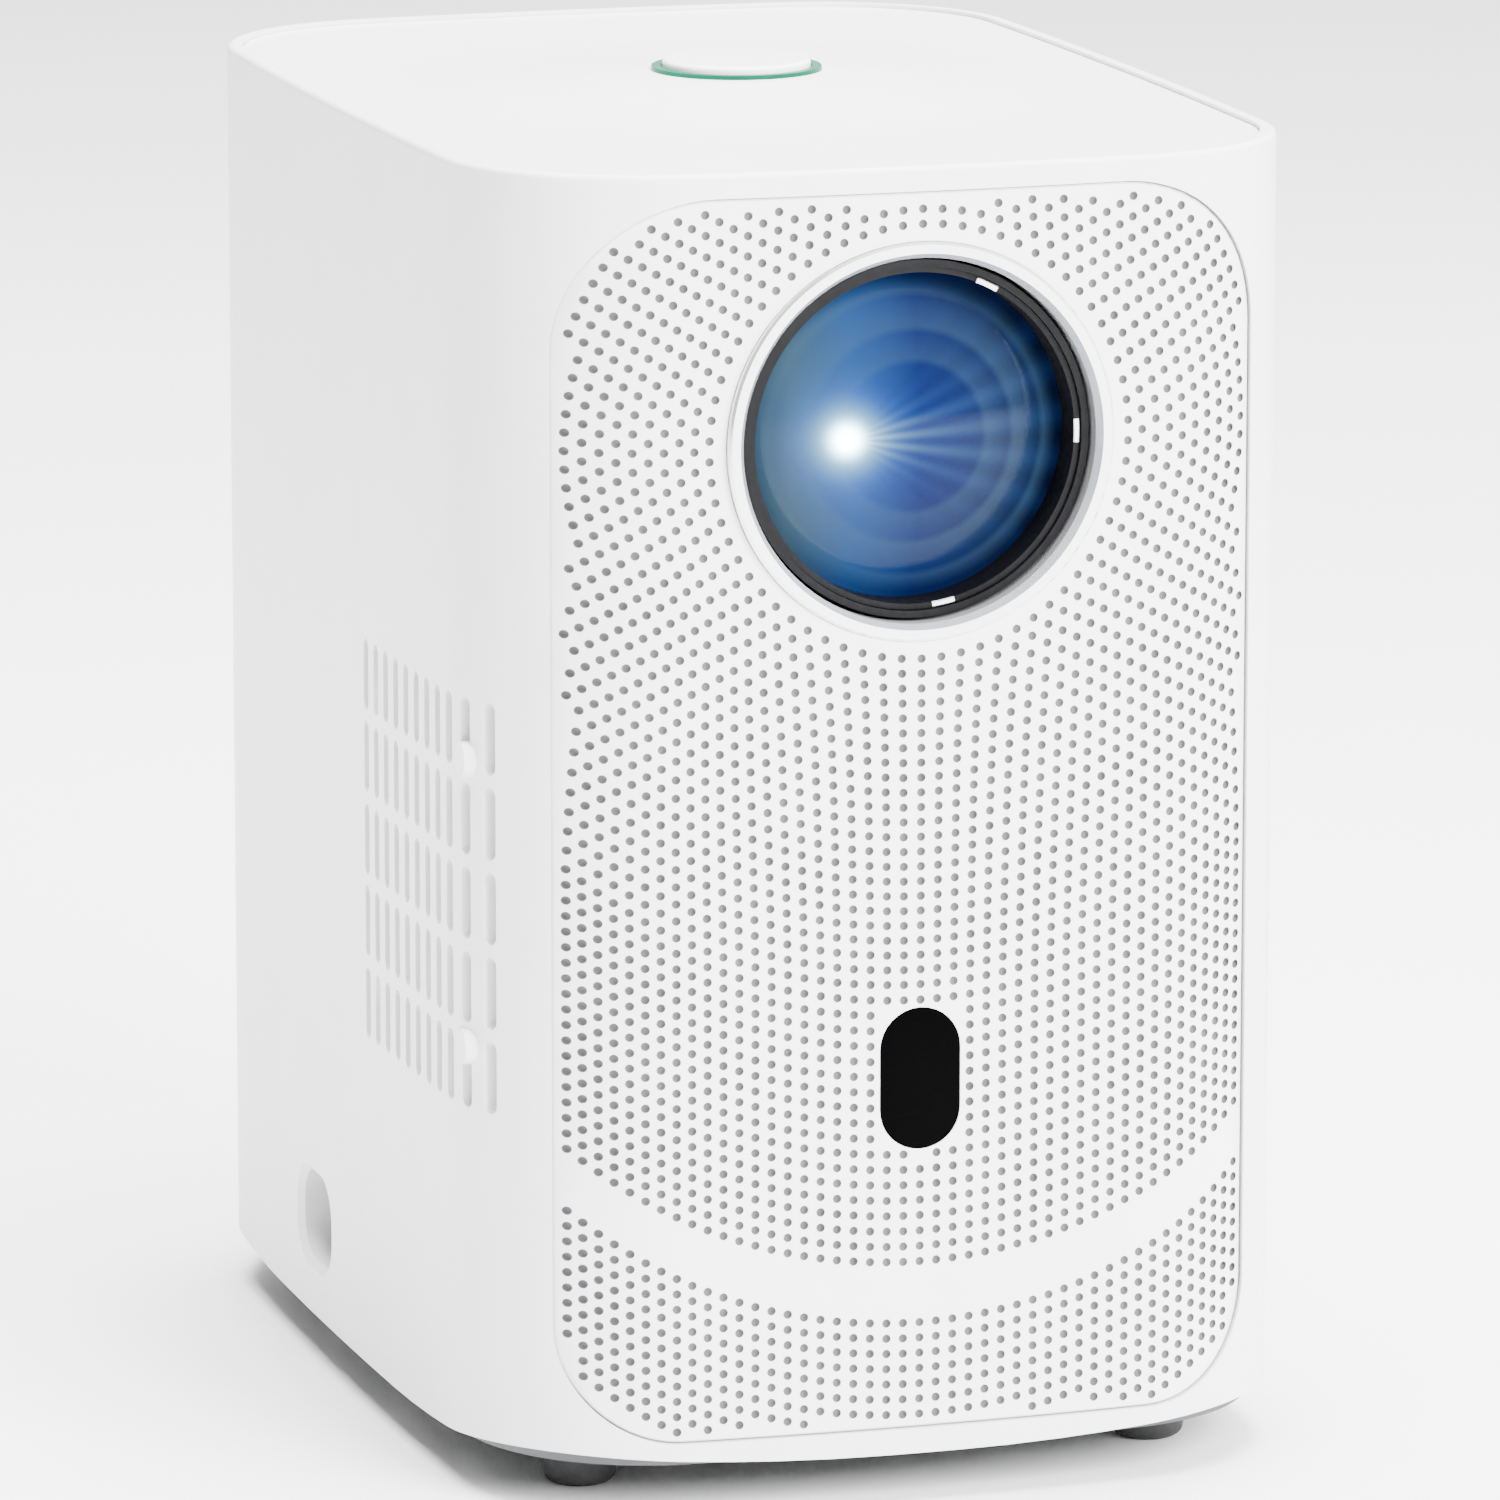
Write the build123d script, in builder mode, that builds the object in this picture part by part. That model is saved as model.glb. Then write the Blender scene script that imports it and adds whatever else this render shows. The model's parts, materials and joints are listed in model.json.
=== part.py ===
"""Upright home projector: a white wrap-round housing with a perforated front panel, a lens near the
top of the front, a round power button with a light ring on the lid, and the optics, cooling, sound and
electronics inside.

Frame: millimetres, +Z up, the front faces -Y, and the origin is on the surface the feet stand on,
under the middle of the housing.
"""
from build123d import *
from math import cos, pi, radians, sin, sqrt, tan
import os

os.makedirs("parts", exist_ok=True)

# Housing
HALF_WIDTH = 75.0          # middle of the housing to the crown of a side
HALF_DEPTH = 107.0         # middle of the housing to the crown of the front or the back
BODY_HEIGHT = 222.5        # shell, lower edge to rim
FOOT_LIFT = 8.6            # shell's lower edge above the standing surface
FRONT_RADIUS = 555.0       # bulge of the front and the back, seen from above
SIDE_RADIUS = 2200.0       # bulge of the sides
CORNER_RADIUS = 36.0
WALL = 2.8
RIM_ROUND = 1.1            # rounding of the shell's upper outer edge
CORNER_LIFT = 2.6          # rise of the shell's lower edge at each corner
CORNER_LIFT_RUN = 34.0     # length of that rise, along the corner's diagonal
PLATE_GAP = 0.3            # gap round a lid or panel set into the shell
CONTACT_GAP = 0.1          # clearance between pieces that seat on each other

# Lid
LID_THICK = 2.2
LID_STEP = 0.7             # lid's edge below the shell's rim
LID_CROWN = 3.8            # rise of the lid's middle above its edge
LID_LEDGE = 5.0            # width of the ledge that the lid rests on
LID_LEDGE_THICK = 2.0
TAB_LENGTH = 12.0
TAB_THICK = 1.4

# Power button
RING_RADIUS = 15.1         # light ring, outside
RING_WIDTH = 1.7
RING_PROUD = 0.25
BUTTON_PROUD = 1.5
BUTTON_ROUND = 0.8
BUTTON_TRAVEL = 1.0
BUTTON_GAP = 0.25
STEM_RADIUS = 2.4
SWITCH_HEIGHT = 2.0
BOARD_THICK = 1.2
BUTTON_BOARD_RADIUS = 22.5
BUTTON_BOARD_DROP = 7.6    # lid's underside to the board's upper face
BOARD_POST_CIRCLE = 19.4
SCREW_RADIUS = 1.0         # small screws, shank
SCREW_HEAD_RADIUS = 1.9
SCREW_HEAD_HEIGHT = 1.3
SCREW_GAP = 0.05

# Front panel
PANEL_HALF_WIDTH = 62.0
PANEL_LOW = 4.6            # panel's lower edge above the shell's lower edge
PANEL_TOP_MARGIN = 4.5     # panel's upper edge below the rim
PANEL_TOP_CORNER = 26.0
PANEL_LOW_CORNER = 20.0
PANEL_RECESS = 0.7         # panel's face behind the shell's face
PANEL_THICK = 2.0
LEDGE_THICK = 2.2          # frame behind the panel's edge
LEDGE_OVERLAP = 5.0

# Lens, measured along Y from the panel's crown
LENS_RISE = 175.6          # lens axis above the shell's lower edge
BEZEL_RADIUS = 34.1
BEZEL_BORE = 31.2
BEZEL_PROUD = 0.6
BEZEL_DEPTH = 13.0
BEZEL_FLANGE = 2.4
BEZEL_SEAT = 3.6           # flange's front face, behind the panel's crown
BEZEL_FLANGE_THICK = 1.5
BEZEL_BEVEL = 0.9
BARREL_RADIUS = 30.6
BARREL_WALL = 1.2
BARREL_START = 3.0         # barrel's front edge behind the panel's crown
BARREL_LENGTH = 42.0
SLIDE_GAP = 0.08
HOLDER_FRONT = 14.5
HOLDER_RING = 4.0          # length of the holder's front ring
HOLDER_CAGE = 12.5         # open length that the focus ring turns in
HOLDER_REAR = 51.0         # holder's mounting face
HOLDER_WALL = 2.6
POST_CIRCLE = 41.5
POST_RADIUS = 2.6
POST_ANGLES = (30.0, 150.0, 315.0)
LUG_WIDTH = 6.0
FOCUS_HUB = 2.2            # focus ring's wall beside its teeth
GEAR_MODULE = 1.0
RING_TEETH = 72
PINION_TEETH = 12
GEAR_WIDTH = 6.0
GEAR_BACKLASH = 0.24
PINION_ANGLE = 225.0       # place of the focus motor round the lens axis
MOTOR_RADIUS = 8.5
MOTOR_LUG = 11.5           # motor axis to its fixing screw
MOTOR_START = 31.5
MOTOR_SHAFT_RADIUS = 1.5
RETAINER_WIDTH = 1.0
FRONT_SAG = 6.4            # depth of the front glass's curved face
FRONT_VERTEX = 1.6         # front glass's crown behind the barrel's edge
GLASS_EDGE = 3.0
MIDDLE_GLASS_RADIUS = 22.0
REAR_GLASS_RADIUS = 26.0
GLASS_GAP = 0.1

# Infrared window, above the shell's lower edge
WINDOW_RISE = 65.8
WINDOW_WIDTH = 14.2
WINDOW_HEIGHT = 24.6
WINDOW_FLANGE = 1.6

# Side vents
VENT_COLUMNS = 11
VENT_ROWS = 5
VENT_PITCH_Y = 6.2
VENT_PITCH_Z = 14.7
VENT_WIDTH = 2.9
VENT_HEIGHT = 12.6
VENT_Y = -54.5             # middle of the vent field
VENT_RISE = 95.4

# Power jack
JACK_Y = 15.0
JACK_RISE = 17.6
JACK_WIDTH = 22.0
JACK_HEIGHT = 16.0
JACK_CORNER = 6.5
JACK_CHAMFER = 1.3
JACK_DEPTH = 7.5           # jack's face behind the shell's crown
JACK_BORE = 3.2
JACK_PIN = 1.05
JACK_BORE_DEPTH = 9.5
COLLAR_WALL = 2.0

# Rear panel
REAR_HALF_WIDTH = 52.0
REAR_LOW = 10.0
REAR_TOP_MARGIN = 13.0
REAR_CORNER = 16.0
REAR_VENT_COLUMNS = 13
REAR_VENT_ROWS = 4
REAR_VENT_RISE = 173.0
PORT_RISE = 42.0
PORT_GAP = 0.4
HDMI_X = 30.0
USB_X = 4.0
AUDIO_X = -20.0
AUDIO_BORE = 1.8
AUDIO_DEPTH = 13.0
SOCKET_FACE = 2.4          # sockets' faces, behind the shell's crown
MAIN_BOARD_Y = 88.0
MAIN_BOARD_HALF_WIDTH = 48.0
MAIN_BOARD_LOW = 18.0
MAIN_BOARD_HIGH = 122.0
STANDOFF_RADIUS = 3.0

# Optical engine
ENGINE_HALF_WIDTH = 54.0
ENGINE_BELOW = 34.0        # lens axis to the engine's underside
ENGINE_ABOVE = 30.0        # lens axis to the engine's upper face
ENGINE_WALL = 2.0
ENGINE_BACK = 60.0         # Y of the engine's rear face
COVER_THICK = 1.8
PANE_GAP = 0.2
FIELD_LENS_Y = -2.0        # panes in the engine, front faces
LCD_Y = 6.0
FRESNEL_Y = 14.0
HEAT_GLASS_Y = 22.0
CONDENSER_Y = 32.0
PANE_THICK = 2.0
LCD_THICK = 3.2
LAMP_SIDE = 40.0
LAMP_THICK = 2.0
SHELF_Y = 46.0
SHELF_WIDTH = 10.0
SHELF_THICK = 4.0
SHELF_OVERLAP = 7.0
SINK_HALF_WIDTH = 46.0
SINK_HALF_HEIGHT = 27.0
FIN_HALF_WIDTH = 38.0
SINK_BASE = 4.0
SINK_DEPTH = 22.0
SINK_FINS = 17
FIN_THICK = 1.2

# Fans
FAN_SIZE = 60.0
FAN_DEPTH = 10.0
FAN_BORE = 28.5
FAN_CORNER = 4.0
HUB_RADIUS = 12.5
BLADES = 9
BLADE_THICK = 1.0
BLADE_TILT = 35.0
BLADE_CHORD = 8.0
BLADE_TIP_GAP = 1.0
SHAFT_RADIUS = 1.5
SHAFT_GAP = 0.05

# Loudspeakers
SPEAKER_X = 33.0
SPEAKER_RISE = 100.0
SPEAKER_RADIUS = 20.0
SPEAKER_BOX_HALF_WIDTH = 22.0
SPEAKER_BOX_HIGH = 126.0
SPEAKER_BOX_FRONT = -90.0
SPEAKER_BOX_BACK = -52.0
BOX_WALL = 2.0

# Base and feet
BASE_THICK = 3.0
BASE_LEDGE = 4.0
BASE_VENT_COLUMNS = 9
BASE_VENT_ROWS = 2
BASE_VENT_PITCH_X = 7.0
BASE_VENT_PITCH_Y = 17.0
BASE_VENT_Y = 36.0
FOOT_X = 51.9
FOOT_Y = 76.3
FOOT_FLANGE_RADIUS = 7.4
FOOT_FLANGE_HEIGHT = 2.8
FOOT_PAD_RADIUS = 6.4
BOSS_RADIUS = 4.2
BOSS_HEIGHT = 16.0
BOSS_X = 60.0
BOSS_Y = 87.0
BASE_SCREW_RADIUS = 1.5
BASE_SCREW_HEAD = 2.9
BASE_SCREW_HEAD_HEIGHT = 1.6
BASE_SCREW_LENGTH = 12.0
INSERT_RADIUS = 5.0
INSERT_BORE = 2.6          # crest of a 1/4-inch tripod thread
INSERT_LENGTH = 8.0

# Worked out from the sizes above
SHELL_Z = FOOT_LIFT
RIM_Z = SHELL_Z + BODY_HEIGHT
LID_Z = RIM_Z - LID_STEP - LID_THICK
LID_EDGE_TOP = LID_Z + LID_THICK
LID_TOP = LID_EDGE_TOP + LID_CROWN
LENS_Z = SHELL_Z + LENS_RISE
WINDOW_Z = SHELL_Z + WINDOW_RISE
FACE_Y = -HALF_DEPTH + PANEL_RECESS
PANEL_BACK = PANEL_RECESS + PANEL_THICK
LEDGE_FRONT = PANEL_BACK + CONTACT_GAP
BARREL_Y = FACE_Y + BARREL_START
HOLDER_Y = FACE_Y + HOLDER_REAR
BORE_RADIUS = BARREL_RADIUS - BARREL_WALL
BASE_TOP = SHELL_Z + BASE_THICK
LENS_PLANE = Plane.XY.offset(LENS_Z)
LENS_AXIS = Axis((0, 0, LENS_Z), (0, 1, 0))


def plan_face(height, inset=0.0):
    """The housing's plan at a height: four bulging sides with round corners, moved in by inset."""
    x_corner = HALF_WIDTH
    y_corner = HALF_DEPTH
    for _ in range(8):
        x_corner = HALF_WIDTH - (SIDE_RADIUS - sqrt(SIDE_RADIUS**2 - y_corner**2))
        y_corner = HALF_DEPTH - (FRONT_RADIUS - sqrt(FRONT_RADIUS**2 - x_corner**2))
    with BuildSketch(Plane.XY.offset(height)) as sketch:
        with BuildLine():
            ThreePointArc((-x_corner, -y_corner), (0, -HALF_DEPTH), (x_corner, -y_corner))
            ThreePointArc((x_corner, -y_corner), (HALF_WIDTH, 0), (x_corner, y_corner))
            ThreePointArc((x_corner, y_corner), (0, HALF_DEPTH), (-x_corner, y_corner))
            ThreePointArc((-x_corner, y_corner), (-HALF_WIDTH, 0), (-x_corner, -y_corner))
        make_face()
        fillet(sketch.vertices(), radius=CORNER_RADIUS)
        if inset:
            offset(amount=-inset, kind=Kind.INTERSECTION, mode=Mode.REPLACE)
    return sketch.sketch


def surface_y(x, inset=0.0):
    """Y of the front face's surface at x, between the round corners."""
    return -HALF_DEPTH + FRONT_RADIUS - sqrt((FRONT_RADIUS - inset) ** 2 - x**2)


def panel_face(grow=0.0):
    """Outline of the front panel, seen from the front, grown by a margin."""
    low = SHELL_Z + PANEL_LOW - grow
    high = RIM_Z - PANEL_TOP_MARGIN + grow
    with BuildSketch(Plane.XZ) as sketch:
        with Locations((0, (low + high) / 2)):
            Rectangle(2 * (PANEL_HALF_WIDTH + grow), high - low)
        fillet(sketch.vertices().group_by(Axis.Y)[-1], radius=PANEL_TOP_CORNER + grow)
        fillet(sketch.vertices().group_by(Axis.Y)[0], radius=PANEL_LOW_CORNER + grow)
    return sketch.sketch


def rear_face(grow=0.0):
    """Outline of the rear panel, seen from behind, grown by a margin."""
    low = SHELL_Z + REAR_LOW - grow
    high = RIM_Z - REAR_TOP_MARGIN + grow
    with BuildSketch(Plane.XZ) as sketch:
        with Locations((0, (low + high) / 2)):
            RectangleRounded(2 * (REAR_HALF_WIDTH + grow), high - low, REAR_CORNER + grow)
    return sketch.sketch


def lens_disc(radius):
    """Circle round the lens axis, facing forward."""
    with BuildSketch(Plane.XZ) as sketch:
        with Locations((0, LENS_Z)):
            Circle(radius)
    return sketch.sketch


def window_slot(grow=0.0):
    """Upright obround of the infrared window, grown by a margin."""
    with BuildSketch(Plane.XZ) as sketch:
        with Locations((0, WINDOW_Z)):
            SlotOverall(WINDOW_HEIGHT + 2 * grow, WINDOW_WIDTH + 2 * grow, rotation=90)
    return sketch.sketch


def vent_field(plane, columns=VENT_COLUMNS, rows=VENT_ROWS):
    """Field of upright obround vents on a plane."""
    with BuildSketch(plane) as sketch:
        with GridLocations(VENT_PITCH_Y, VENT_PITCH_Z, columns, rows):
            SlotOverall(VENT_HEIGHT, VENT_WIDTH, rotation=90)
    return sketch.sketch


def jack_face(x, grow=0.0):
    """Outline of the power jack's opening on a plane across X."""
    with BuildSketch(Plane.YZ.offset(x)) as sketch:
        with Locations((JACK_Y, SHELL_Z + JACK_RISE)):
            RectangleRounded(JACK_WIDTH + 2 * grow, JACK_HEIGHT + 2 * grow, JACK_CORNER + grow)
    return sketch.sketch


def lens_plane(y):
    """Plane across the lens axis at y, seen from the front."""
    return Plane(origin=(0, y, LENS_Z), x_dir=(1, 0, 0), z_dir=(0, -1, 0))


def tube_profile(inner, outer, front, back):
    """Rectangle that revolves round the lens axis into a tube."""
    with BuildSketch(LENS_PLANE) as sketch:
        with Locations(((inner + outer) / 2, (front + back) / 2)):
            Rectangle(outer - inner, back - front)
    return sketch.sketch


def finish(builder, name):
    """Label a finished piece and write it."""
    builder.part.label = name
    export_step(builder.part, f"parts/{name}.step")


# ---------------------------------------------------------------------------
# Outer shell
# ---------------------------------------------------------------------------
def corner_cut(x_sign, y_sign):
    """Shallow profile that raises the shell's lower edge round one corner."""
    start = CORNER_RADIUS - CORNER_LIFT_RUN
    diagonal = Plane(
        origin=(
            x_sign * (HALF_WIDTH - CORNER_RADIUS),
            y_sign * (HALF_DEPTH - CORNER_RADIUS),
            SHELL_Z,
        ),
        x_dir=(x_sign, y_sign, 0),
        z_dir=(y_sign, -x_sign, 0),
    )
    up = 1 if diagonal.y_dir.Z > 0 else -1
    with BuildSketch(diagonal) as sketch:
        with BuildLine():
            TangentArc((start, 0), (CORNER_RADIUS, up * CORNER_LIFT), tangent=(1, 0))
            Polyline(
                (CORNER_RADIUS, up * CORNER_LIFT),
                (CORNER_RADIUS + WALL, up * CORNER_LIFT),
                (CORNER_RADIUS + WALL, -up * WALL),
                (start, -up * WALL),
                (start, 0),
            )
        make_face()
    return sketch.sketch


def vent_plane(x):
    """Plane across X through the middle of the side vents."""
    return Plane(origin=(x, VENT_Y, SHELL_Z + VENT_RISE), x_dir=(0, 1, 0), z_dir=(1, 0, 0))


def curved_frame(outline, direction):
    """Frame inside the front or rear wall that a panel's edge rests on."""
    with BuildPart() as frame:
        extrude(plan_face(BASE_TOP, WALL), amount=LID_Z - BASE_TOP)
        extrude(plan_face(BASE_TOP, WALL + LEDGE_THICK), amount=LID_Z, mode=Mode.SUBTRACT)
        extrude(outline, amount=direction * HALF_DEPTH, mode=Mode.INTERSECT)
    return frame.part


def curved_layer(outline, direction, outer, inner):
    """Layer that follows the front or the back between two insets, within an outline."""
    with BuildPart() as layer:
        extrude(plan_face(SHELL_Z, outer), amount=BODY_HEIGHT)
        extrude(plan_face(SHELL_Z, inner), amount=BODY_HEIGHT, mode=Mode.SUBTRACT)
        extrude(outline, amount=direction * (HALF_DEPTH + 1), mode=Mode.INTERSECT)
    return layer.part


SHELF_START = ENGINE_HALF_WIDTH - SHELF_OVERLAP
SHELF_LENGTH = HALF_WIDTH - WALL / 2 - SHELF_START
SHELF_MIDDLE = SHELF_START + SHELF_LENGTH / 2
ENGINE_SCREW_X = SHELF_START + 2.5
POST_BITE = 3.0            # depth of a screw in a post
FORWARD = 1
BACKWARD = -1
FAN_HOLES = FAN_SIZE - 10.0
FAN_STAND_OFF = 5.0        # intake fan to the side wall's crown, inside
INTAKE_FAN_X = -(HALF_WIDTH - WALL - FAN_DEPTH / 2 - FAN_STAND_OFF)
FLANGE_CLEAR = BEZEL_RADIUS + BEZEL_FLANGE + PLATE_GAP

with BuildPart() as outer_shell:
    extrude(plan_face(SHELL_Z), amount=BODY_HEIGHT)
    fillet(outer_shell.faces().sort_by(Axis.Z)[-1].edges(), radius=RIM_ROUND)
    extrude(plan_face(SHELL_Z, WALL), amount=BODY_HEIGHT, mode=Mode.SUBTRACT)
    # ledges for the lid and the base
    extrude(plan_face(LID_Z - LID_LEDGE_THICK, WALL), amount=LID_LEDGE_THICK)
    extrude(
        plan_face(LID_Z - LID_LEDGE_THICK, WALL + LID_LEDGE),
        amount=LID_LEDGE_THICK,
        mode=Mode.SUBTRACT,
    )
    extrude(plan_face(BASE_TOP, WALL), amount=LID_LEDGE_THICK)
    extrude(plan_face(BASE_TOP, WALL + BASE_LEDGE), amount=LID_LEDGE_THICK, mode=Mode.SUBTRACT)
    # frames and openings for the front and rear panels
    add(curved_frame(panel_face(PLATE_GAP + WALL), FORWARD))
    add(curved_frame(rear_face(PLATE_GAP + WALL), BACKWARD))
    add(curved_layer(panel_face(PLATE_GAP), FORWARD, -WALL, LEDGE_FRONT), mode=Mode.SUBTRACT)
    add(curved_layer(rear_face(PLATE_GAP), BACKWARD, -WALL, LEDGE_FRONT), mode=Mode.SUBTRACT)
    extrude(panel_face(-LEDGE_OVERLAP), amount=HALF_DEPTH + 1, mode=Mode.SUBTRACT)
    extrude(rear_face(-LEDGE_OVERLAP), amount=-HALF_DEPTH - 1, mode=Mode.SUBTRACT)
    extrude(lens_disc(FLANGE_CLEAR), amount=HALF_DEPTH - PANEL_RECESS, mode=Mode.SUBTRACT)
    # power jack's opening, with a collar behind it
    extrude(jack_face(WALL / 2 - HALF_WIDTH, COLLAR_WALL), amount=JACK_DEPTH)
    extrude(jack_face(-HALF_WIDTH - 1), amount=JACK_DEPTH + WALL + 2, mode=Mode.SUBTRACT)
    extrude(
        jack_face(-HALF_WIDTH, JACK_CHAMFER), amount=JACK_CHAMFER, taper=45, mode=Mode.SUBTRACT
    )
    # bosses for the base screws
    with BuildSketch(Plane.XY.offset(BASE_TOP)):
        with GridLocations(2 * BOSS_X, 2 * BOSS_Y, 2, 2):
            Circle(BOSS_RADIUS)
    extrude(amount=BOSS_HEIGHT)
    with BuildSketch(Plane.XY.offset(BASE_TOP)):
        with GridLocations(2 * BOSS_X, 2 * BOSS_Y, 2, 2):
            Circle(BASE_SCREW_RADIUS + SCREW_GAP)
    extrude(amount=BOSS_HEIGHT - 2, mode=Mode.SUBTRACT)
    # shelves that carry the optical engine
    with BuildSketch(Plane.XY.offset(LENS_Z - ENGINE_BELOW)):
        for side in (-1, 1):
            with Locations((side * SHELF_MIDDLE, SHELF_Y), (side * SHELF_MIDDLE, -SHELF_Y)):
                Rectangle(SHELF_LENGTH, SHELF_WIDTH)
    extrude(amount=-SHELF_THICK)
    with BuildSketch(Plane.XY.offset(LENS_Z - ENGINE_BELOW)):
        with GridLocations(2 * ENGINE_SCREW_X, 2 * SHELF_Y, 2, 2):
            Circle(SCREW_RADIUS + SCREW_GAP)
    extrude(amount=-POST_BITE, mode=Mode.SUBTRACT)
    # raised lower edge at the corners
    for x_sign in (-1, 1):
        for y_sign in (-1, 1):
            extrude(corner_cut(x_sign, y_sign), amount=HALF_WIDTH, both=True, mode=Mode.SUBTRACT)
    # vents through both sides
    extrude(vent_field(vent_plane(-HALF_WIDTH - 1)), amount=2 * HALF_WIDTH + 2, mode=Mode.SUBTRACT)
    # posts that carry the intake fan
    with BuildSketch(vent_plane(INTAKE_FAN_X - FAN_DEPTH / 2)):
        with GridLocations(FAN_HOLES, FAN_HOLES, 2, 2):
            Circle(STANDOFF_RADIUS)
    extrude(amount=-(INTAKE_FAN_X - FAN_DEPTH / 2 + HALF_WIDTH - WALL / 2))
    with BuildSketch(vent_plane(INTAKE_FAN_X - FAN_DEPTH / 2)):
        with GridLocations(FAN_HOLES, FAN_HOLES, 2, 2):
            Circle(SCREW_RADIUS + SCREW_GAP)
    extrude(amount=-POST_BITE, mode=Mode.SUBTRACT)
finish(outer_shell, "outer_shell")


# ---------------------------------------------------------------------------
# Lid, power button and light ring
# ---------------------------------------------------------------------------
TAB_SIDE = HALF_WIDTH - WALL - LID_LEDGE - PLATE_GAP - TAB_THICK / 2
TAB_DROP = LID_LEDGE_THICK + 2.0
TAB_Y = 20.0
BUTTON_BOARD_TOP = LID_Z - BUTTON_BOARD_DROP
POST_RADIUS_LID = 2.4

with BuildPart() as lid:
    extrude(plan_face(LID_Z, WALL + PLATE_GAP), amount=LID_THICK)
    with BuildSketch(Plane.XZ):
        with BuildLine():
            crown_edge = HALF_WIDTH - WALL - LID_LEDGE
            Spline(
                (0, LID_TOP),
                (crown_edge, LID_EDGE_TOP),
                tangents=((1, 0), (1, 0)),
            )
            Polyline((crown_edge, LID_EDGE_TOP), (0, LID_EDGE_TOP), (0, LID_TOP))
        make_face()
    revolve(axis=Axis.Z)
    with BuildSketch(Plane.XY.offset(LID_Z)):
        Circle(RING_RADIUS + CONTACT_GAP)
    extrude(amount=LID_TOP - LID_Z + 1, mode=Mode.SUBTRACT)
    # posts for the button board, and tabs that centre the lid
    with BuildSketch(Plane.XY.offset(LID_Z)):
        with PolarLocations(BOARD_POST_CIRCLE, 3, start_angle=90):
            Circle(POST_RADIUS_LID)
    extrude(amount=-BUTTON_BOARD_DROP)
    with BuildSketch(Plane.XY.offset(BUTTON_BOARD_TOP)):
        with PolarLocations(BOARD_POST_CIRCLE, 3, start_angle=90):
            Circle(SCREW_RADIUS + SCREW_GAP)
    extrude(amount=POST_BITE, mode=Mode.SUBTRACT)
    with BuildSketch(Plane.XY.offset(LID_Z)):
        for side in (-1, 1):
            with Locations((side * TAB_SIDE, TAB_Y), (side * TAB_SIDE, -TAB_Y)):
                Rectangle(TAB_THICK, TAB_LENGTH)
    extrude(amount=-TAB_DROP)
finish(lid, "top_plate")

RING_BORE = RING_RADIUS - RING_WIDTH
RING_FLANGE = 1.4          # light ring's flange below the lid
with BuildPart() as light_ring:
    with BuildSketch(Plane.XY.offset(LID_Z - CONTACT_GAP)):
        Circle(RING_RADIUS + RING_FLANGE)
        Circle(RING_BORE, mode=Mode.SUBTRACT)
    extrude(amount=-RING_FLANGE / 2)
    with BuildSketch(Plane.XY.offset(LID_Z - CONTACT_GAP)):
        Circle(RING_RADIUS)
        Circle(RING_BORE, mode=Mode.SUBTRACT)
    extrude(amount=LID_TOP + RING_PROUD - LID_Z + CONTACT_GAP)
    fillet(light_ring.edges().group_by(Axis.Z)[-1], radius=RING_PROUD / 2)
finish(light_ring, "light_ring")

CAP_RADIUS = RING_BORE - BUTTON_GAP
CAP_TOP = LID_TOP + BUTTON_PROUD
CAP_WALL = 1.4
CAP_FLANGE_TOP = LID_Z - CONTACT_GAP - RING_FLANGE / 2 - BUTTON_GAP
CAP_FLANGE = 1.2
STEM_END = BUTTON_BOARD_TOP + SWITCH_HEIGHT + BUTTON_TRAVEL + CONTACT_GAP
with BuildPart() as power_button:
    with BuildSketch(Plane.XY.offset(CAP_FLANGE_TOP)):
        Circle(CAP_RADIUS)
    extrude(amount=CAP_TOP - CAP_FLANGE_TOP)
    fillet(power_button.edges().group_by(Axis.Z)[-1], radius=BUTTON_ROUND)
    with BuildSketch(Plane.XY.offset(CAP_FLANGE_TOP)):
        Circle(RING_RADIUS)
    extrude(amount=-CAP_FLANGE)
    with BuildSketch(Plane.XY.offset(CAP_FLANGE_TOP - CAP_FLANGE)):
        Circle(CAP_RADIUS - CAP_WALL)
        Circle(STEM_RADIUS, mode=Mode.SUBTRACT)
    extrude(amount=CAP_TOP - CAP_FLANGE_TOP + CAP_FLANGE - CAP_WALL, mode=Mode.SUBTRACT)
    with BuildSketch(Plane.XY.offset(STEM_END)):
        Circle(STEM_RADIUS)
    extrude(amount=CAP_TOP - CAP_WALL - STEM_END)
finish(power_button, "power_button")

DOME_TOP = CAP_FLANGE_TOP - CAP_FLANGE
DOME_RADIUS = CAP_RADIUS - CAP_WALL / 2
DOME_WALL = 0.6
with BuildPart() as return_dome:
    with BuildSketch(Plane.XZ):
        with BuildLine():
            Polyline(
                (STEM_RADIUS * 3, BUTTON_BOARD_TOP),
                (DOME_RADIUS, DOME_TOP),
                (DOME_RADIUS + DOME_WALL, DOME_TOP),
                (STEM_RADIUS * 3 + DOME_WALL, BUTTON_BOARD_TOP),
                close=True,
            )
        make_face()
    revolve(axis=Axis.Z)
finish(return_dome, "button_return_dome")

LED_COUNT = 6
with BuildPart() as button_board:
    with BuildSketch(Plane.XY.offset(BUTTON_BOARD_TOP)):
        Circle(BUTTON_BOARD_RADIUS)
        with PolarLocations(BOARD_POST_CIRCLE, 3, start_angle=90):
            Circle(SCREW_RADIUS + SCREW_GAP, mode=Mode.SUBTRACT)
    extrude(amount=-BOARD_THICK)
    with BuildSketch(Plane.XY.offset(BUTTON_BOARD_TOP)):
        Rectangle(3 * SWITCH_HEIGHT, 3 * SWITCH_HEIGHT)
    extrude(amount=SWITCH_HEIGHT)
    with BuildSketch(Plane.XY.offset(BUTTON_BOARD_TOP)):
        with PolarLocations(RING_RADIUS, LED_COUNT, start_angle=60):
            Rectangle(1.2, 2.0)
    extrude(amount=1.0)
finish(button_board, "button_board")


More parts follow.
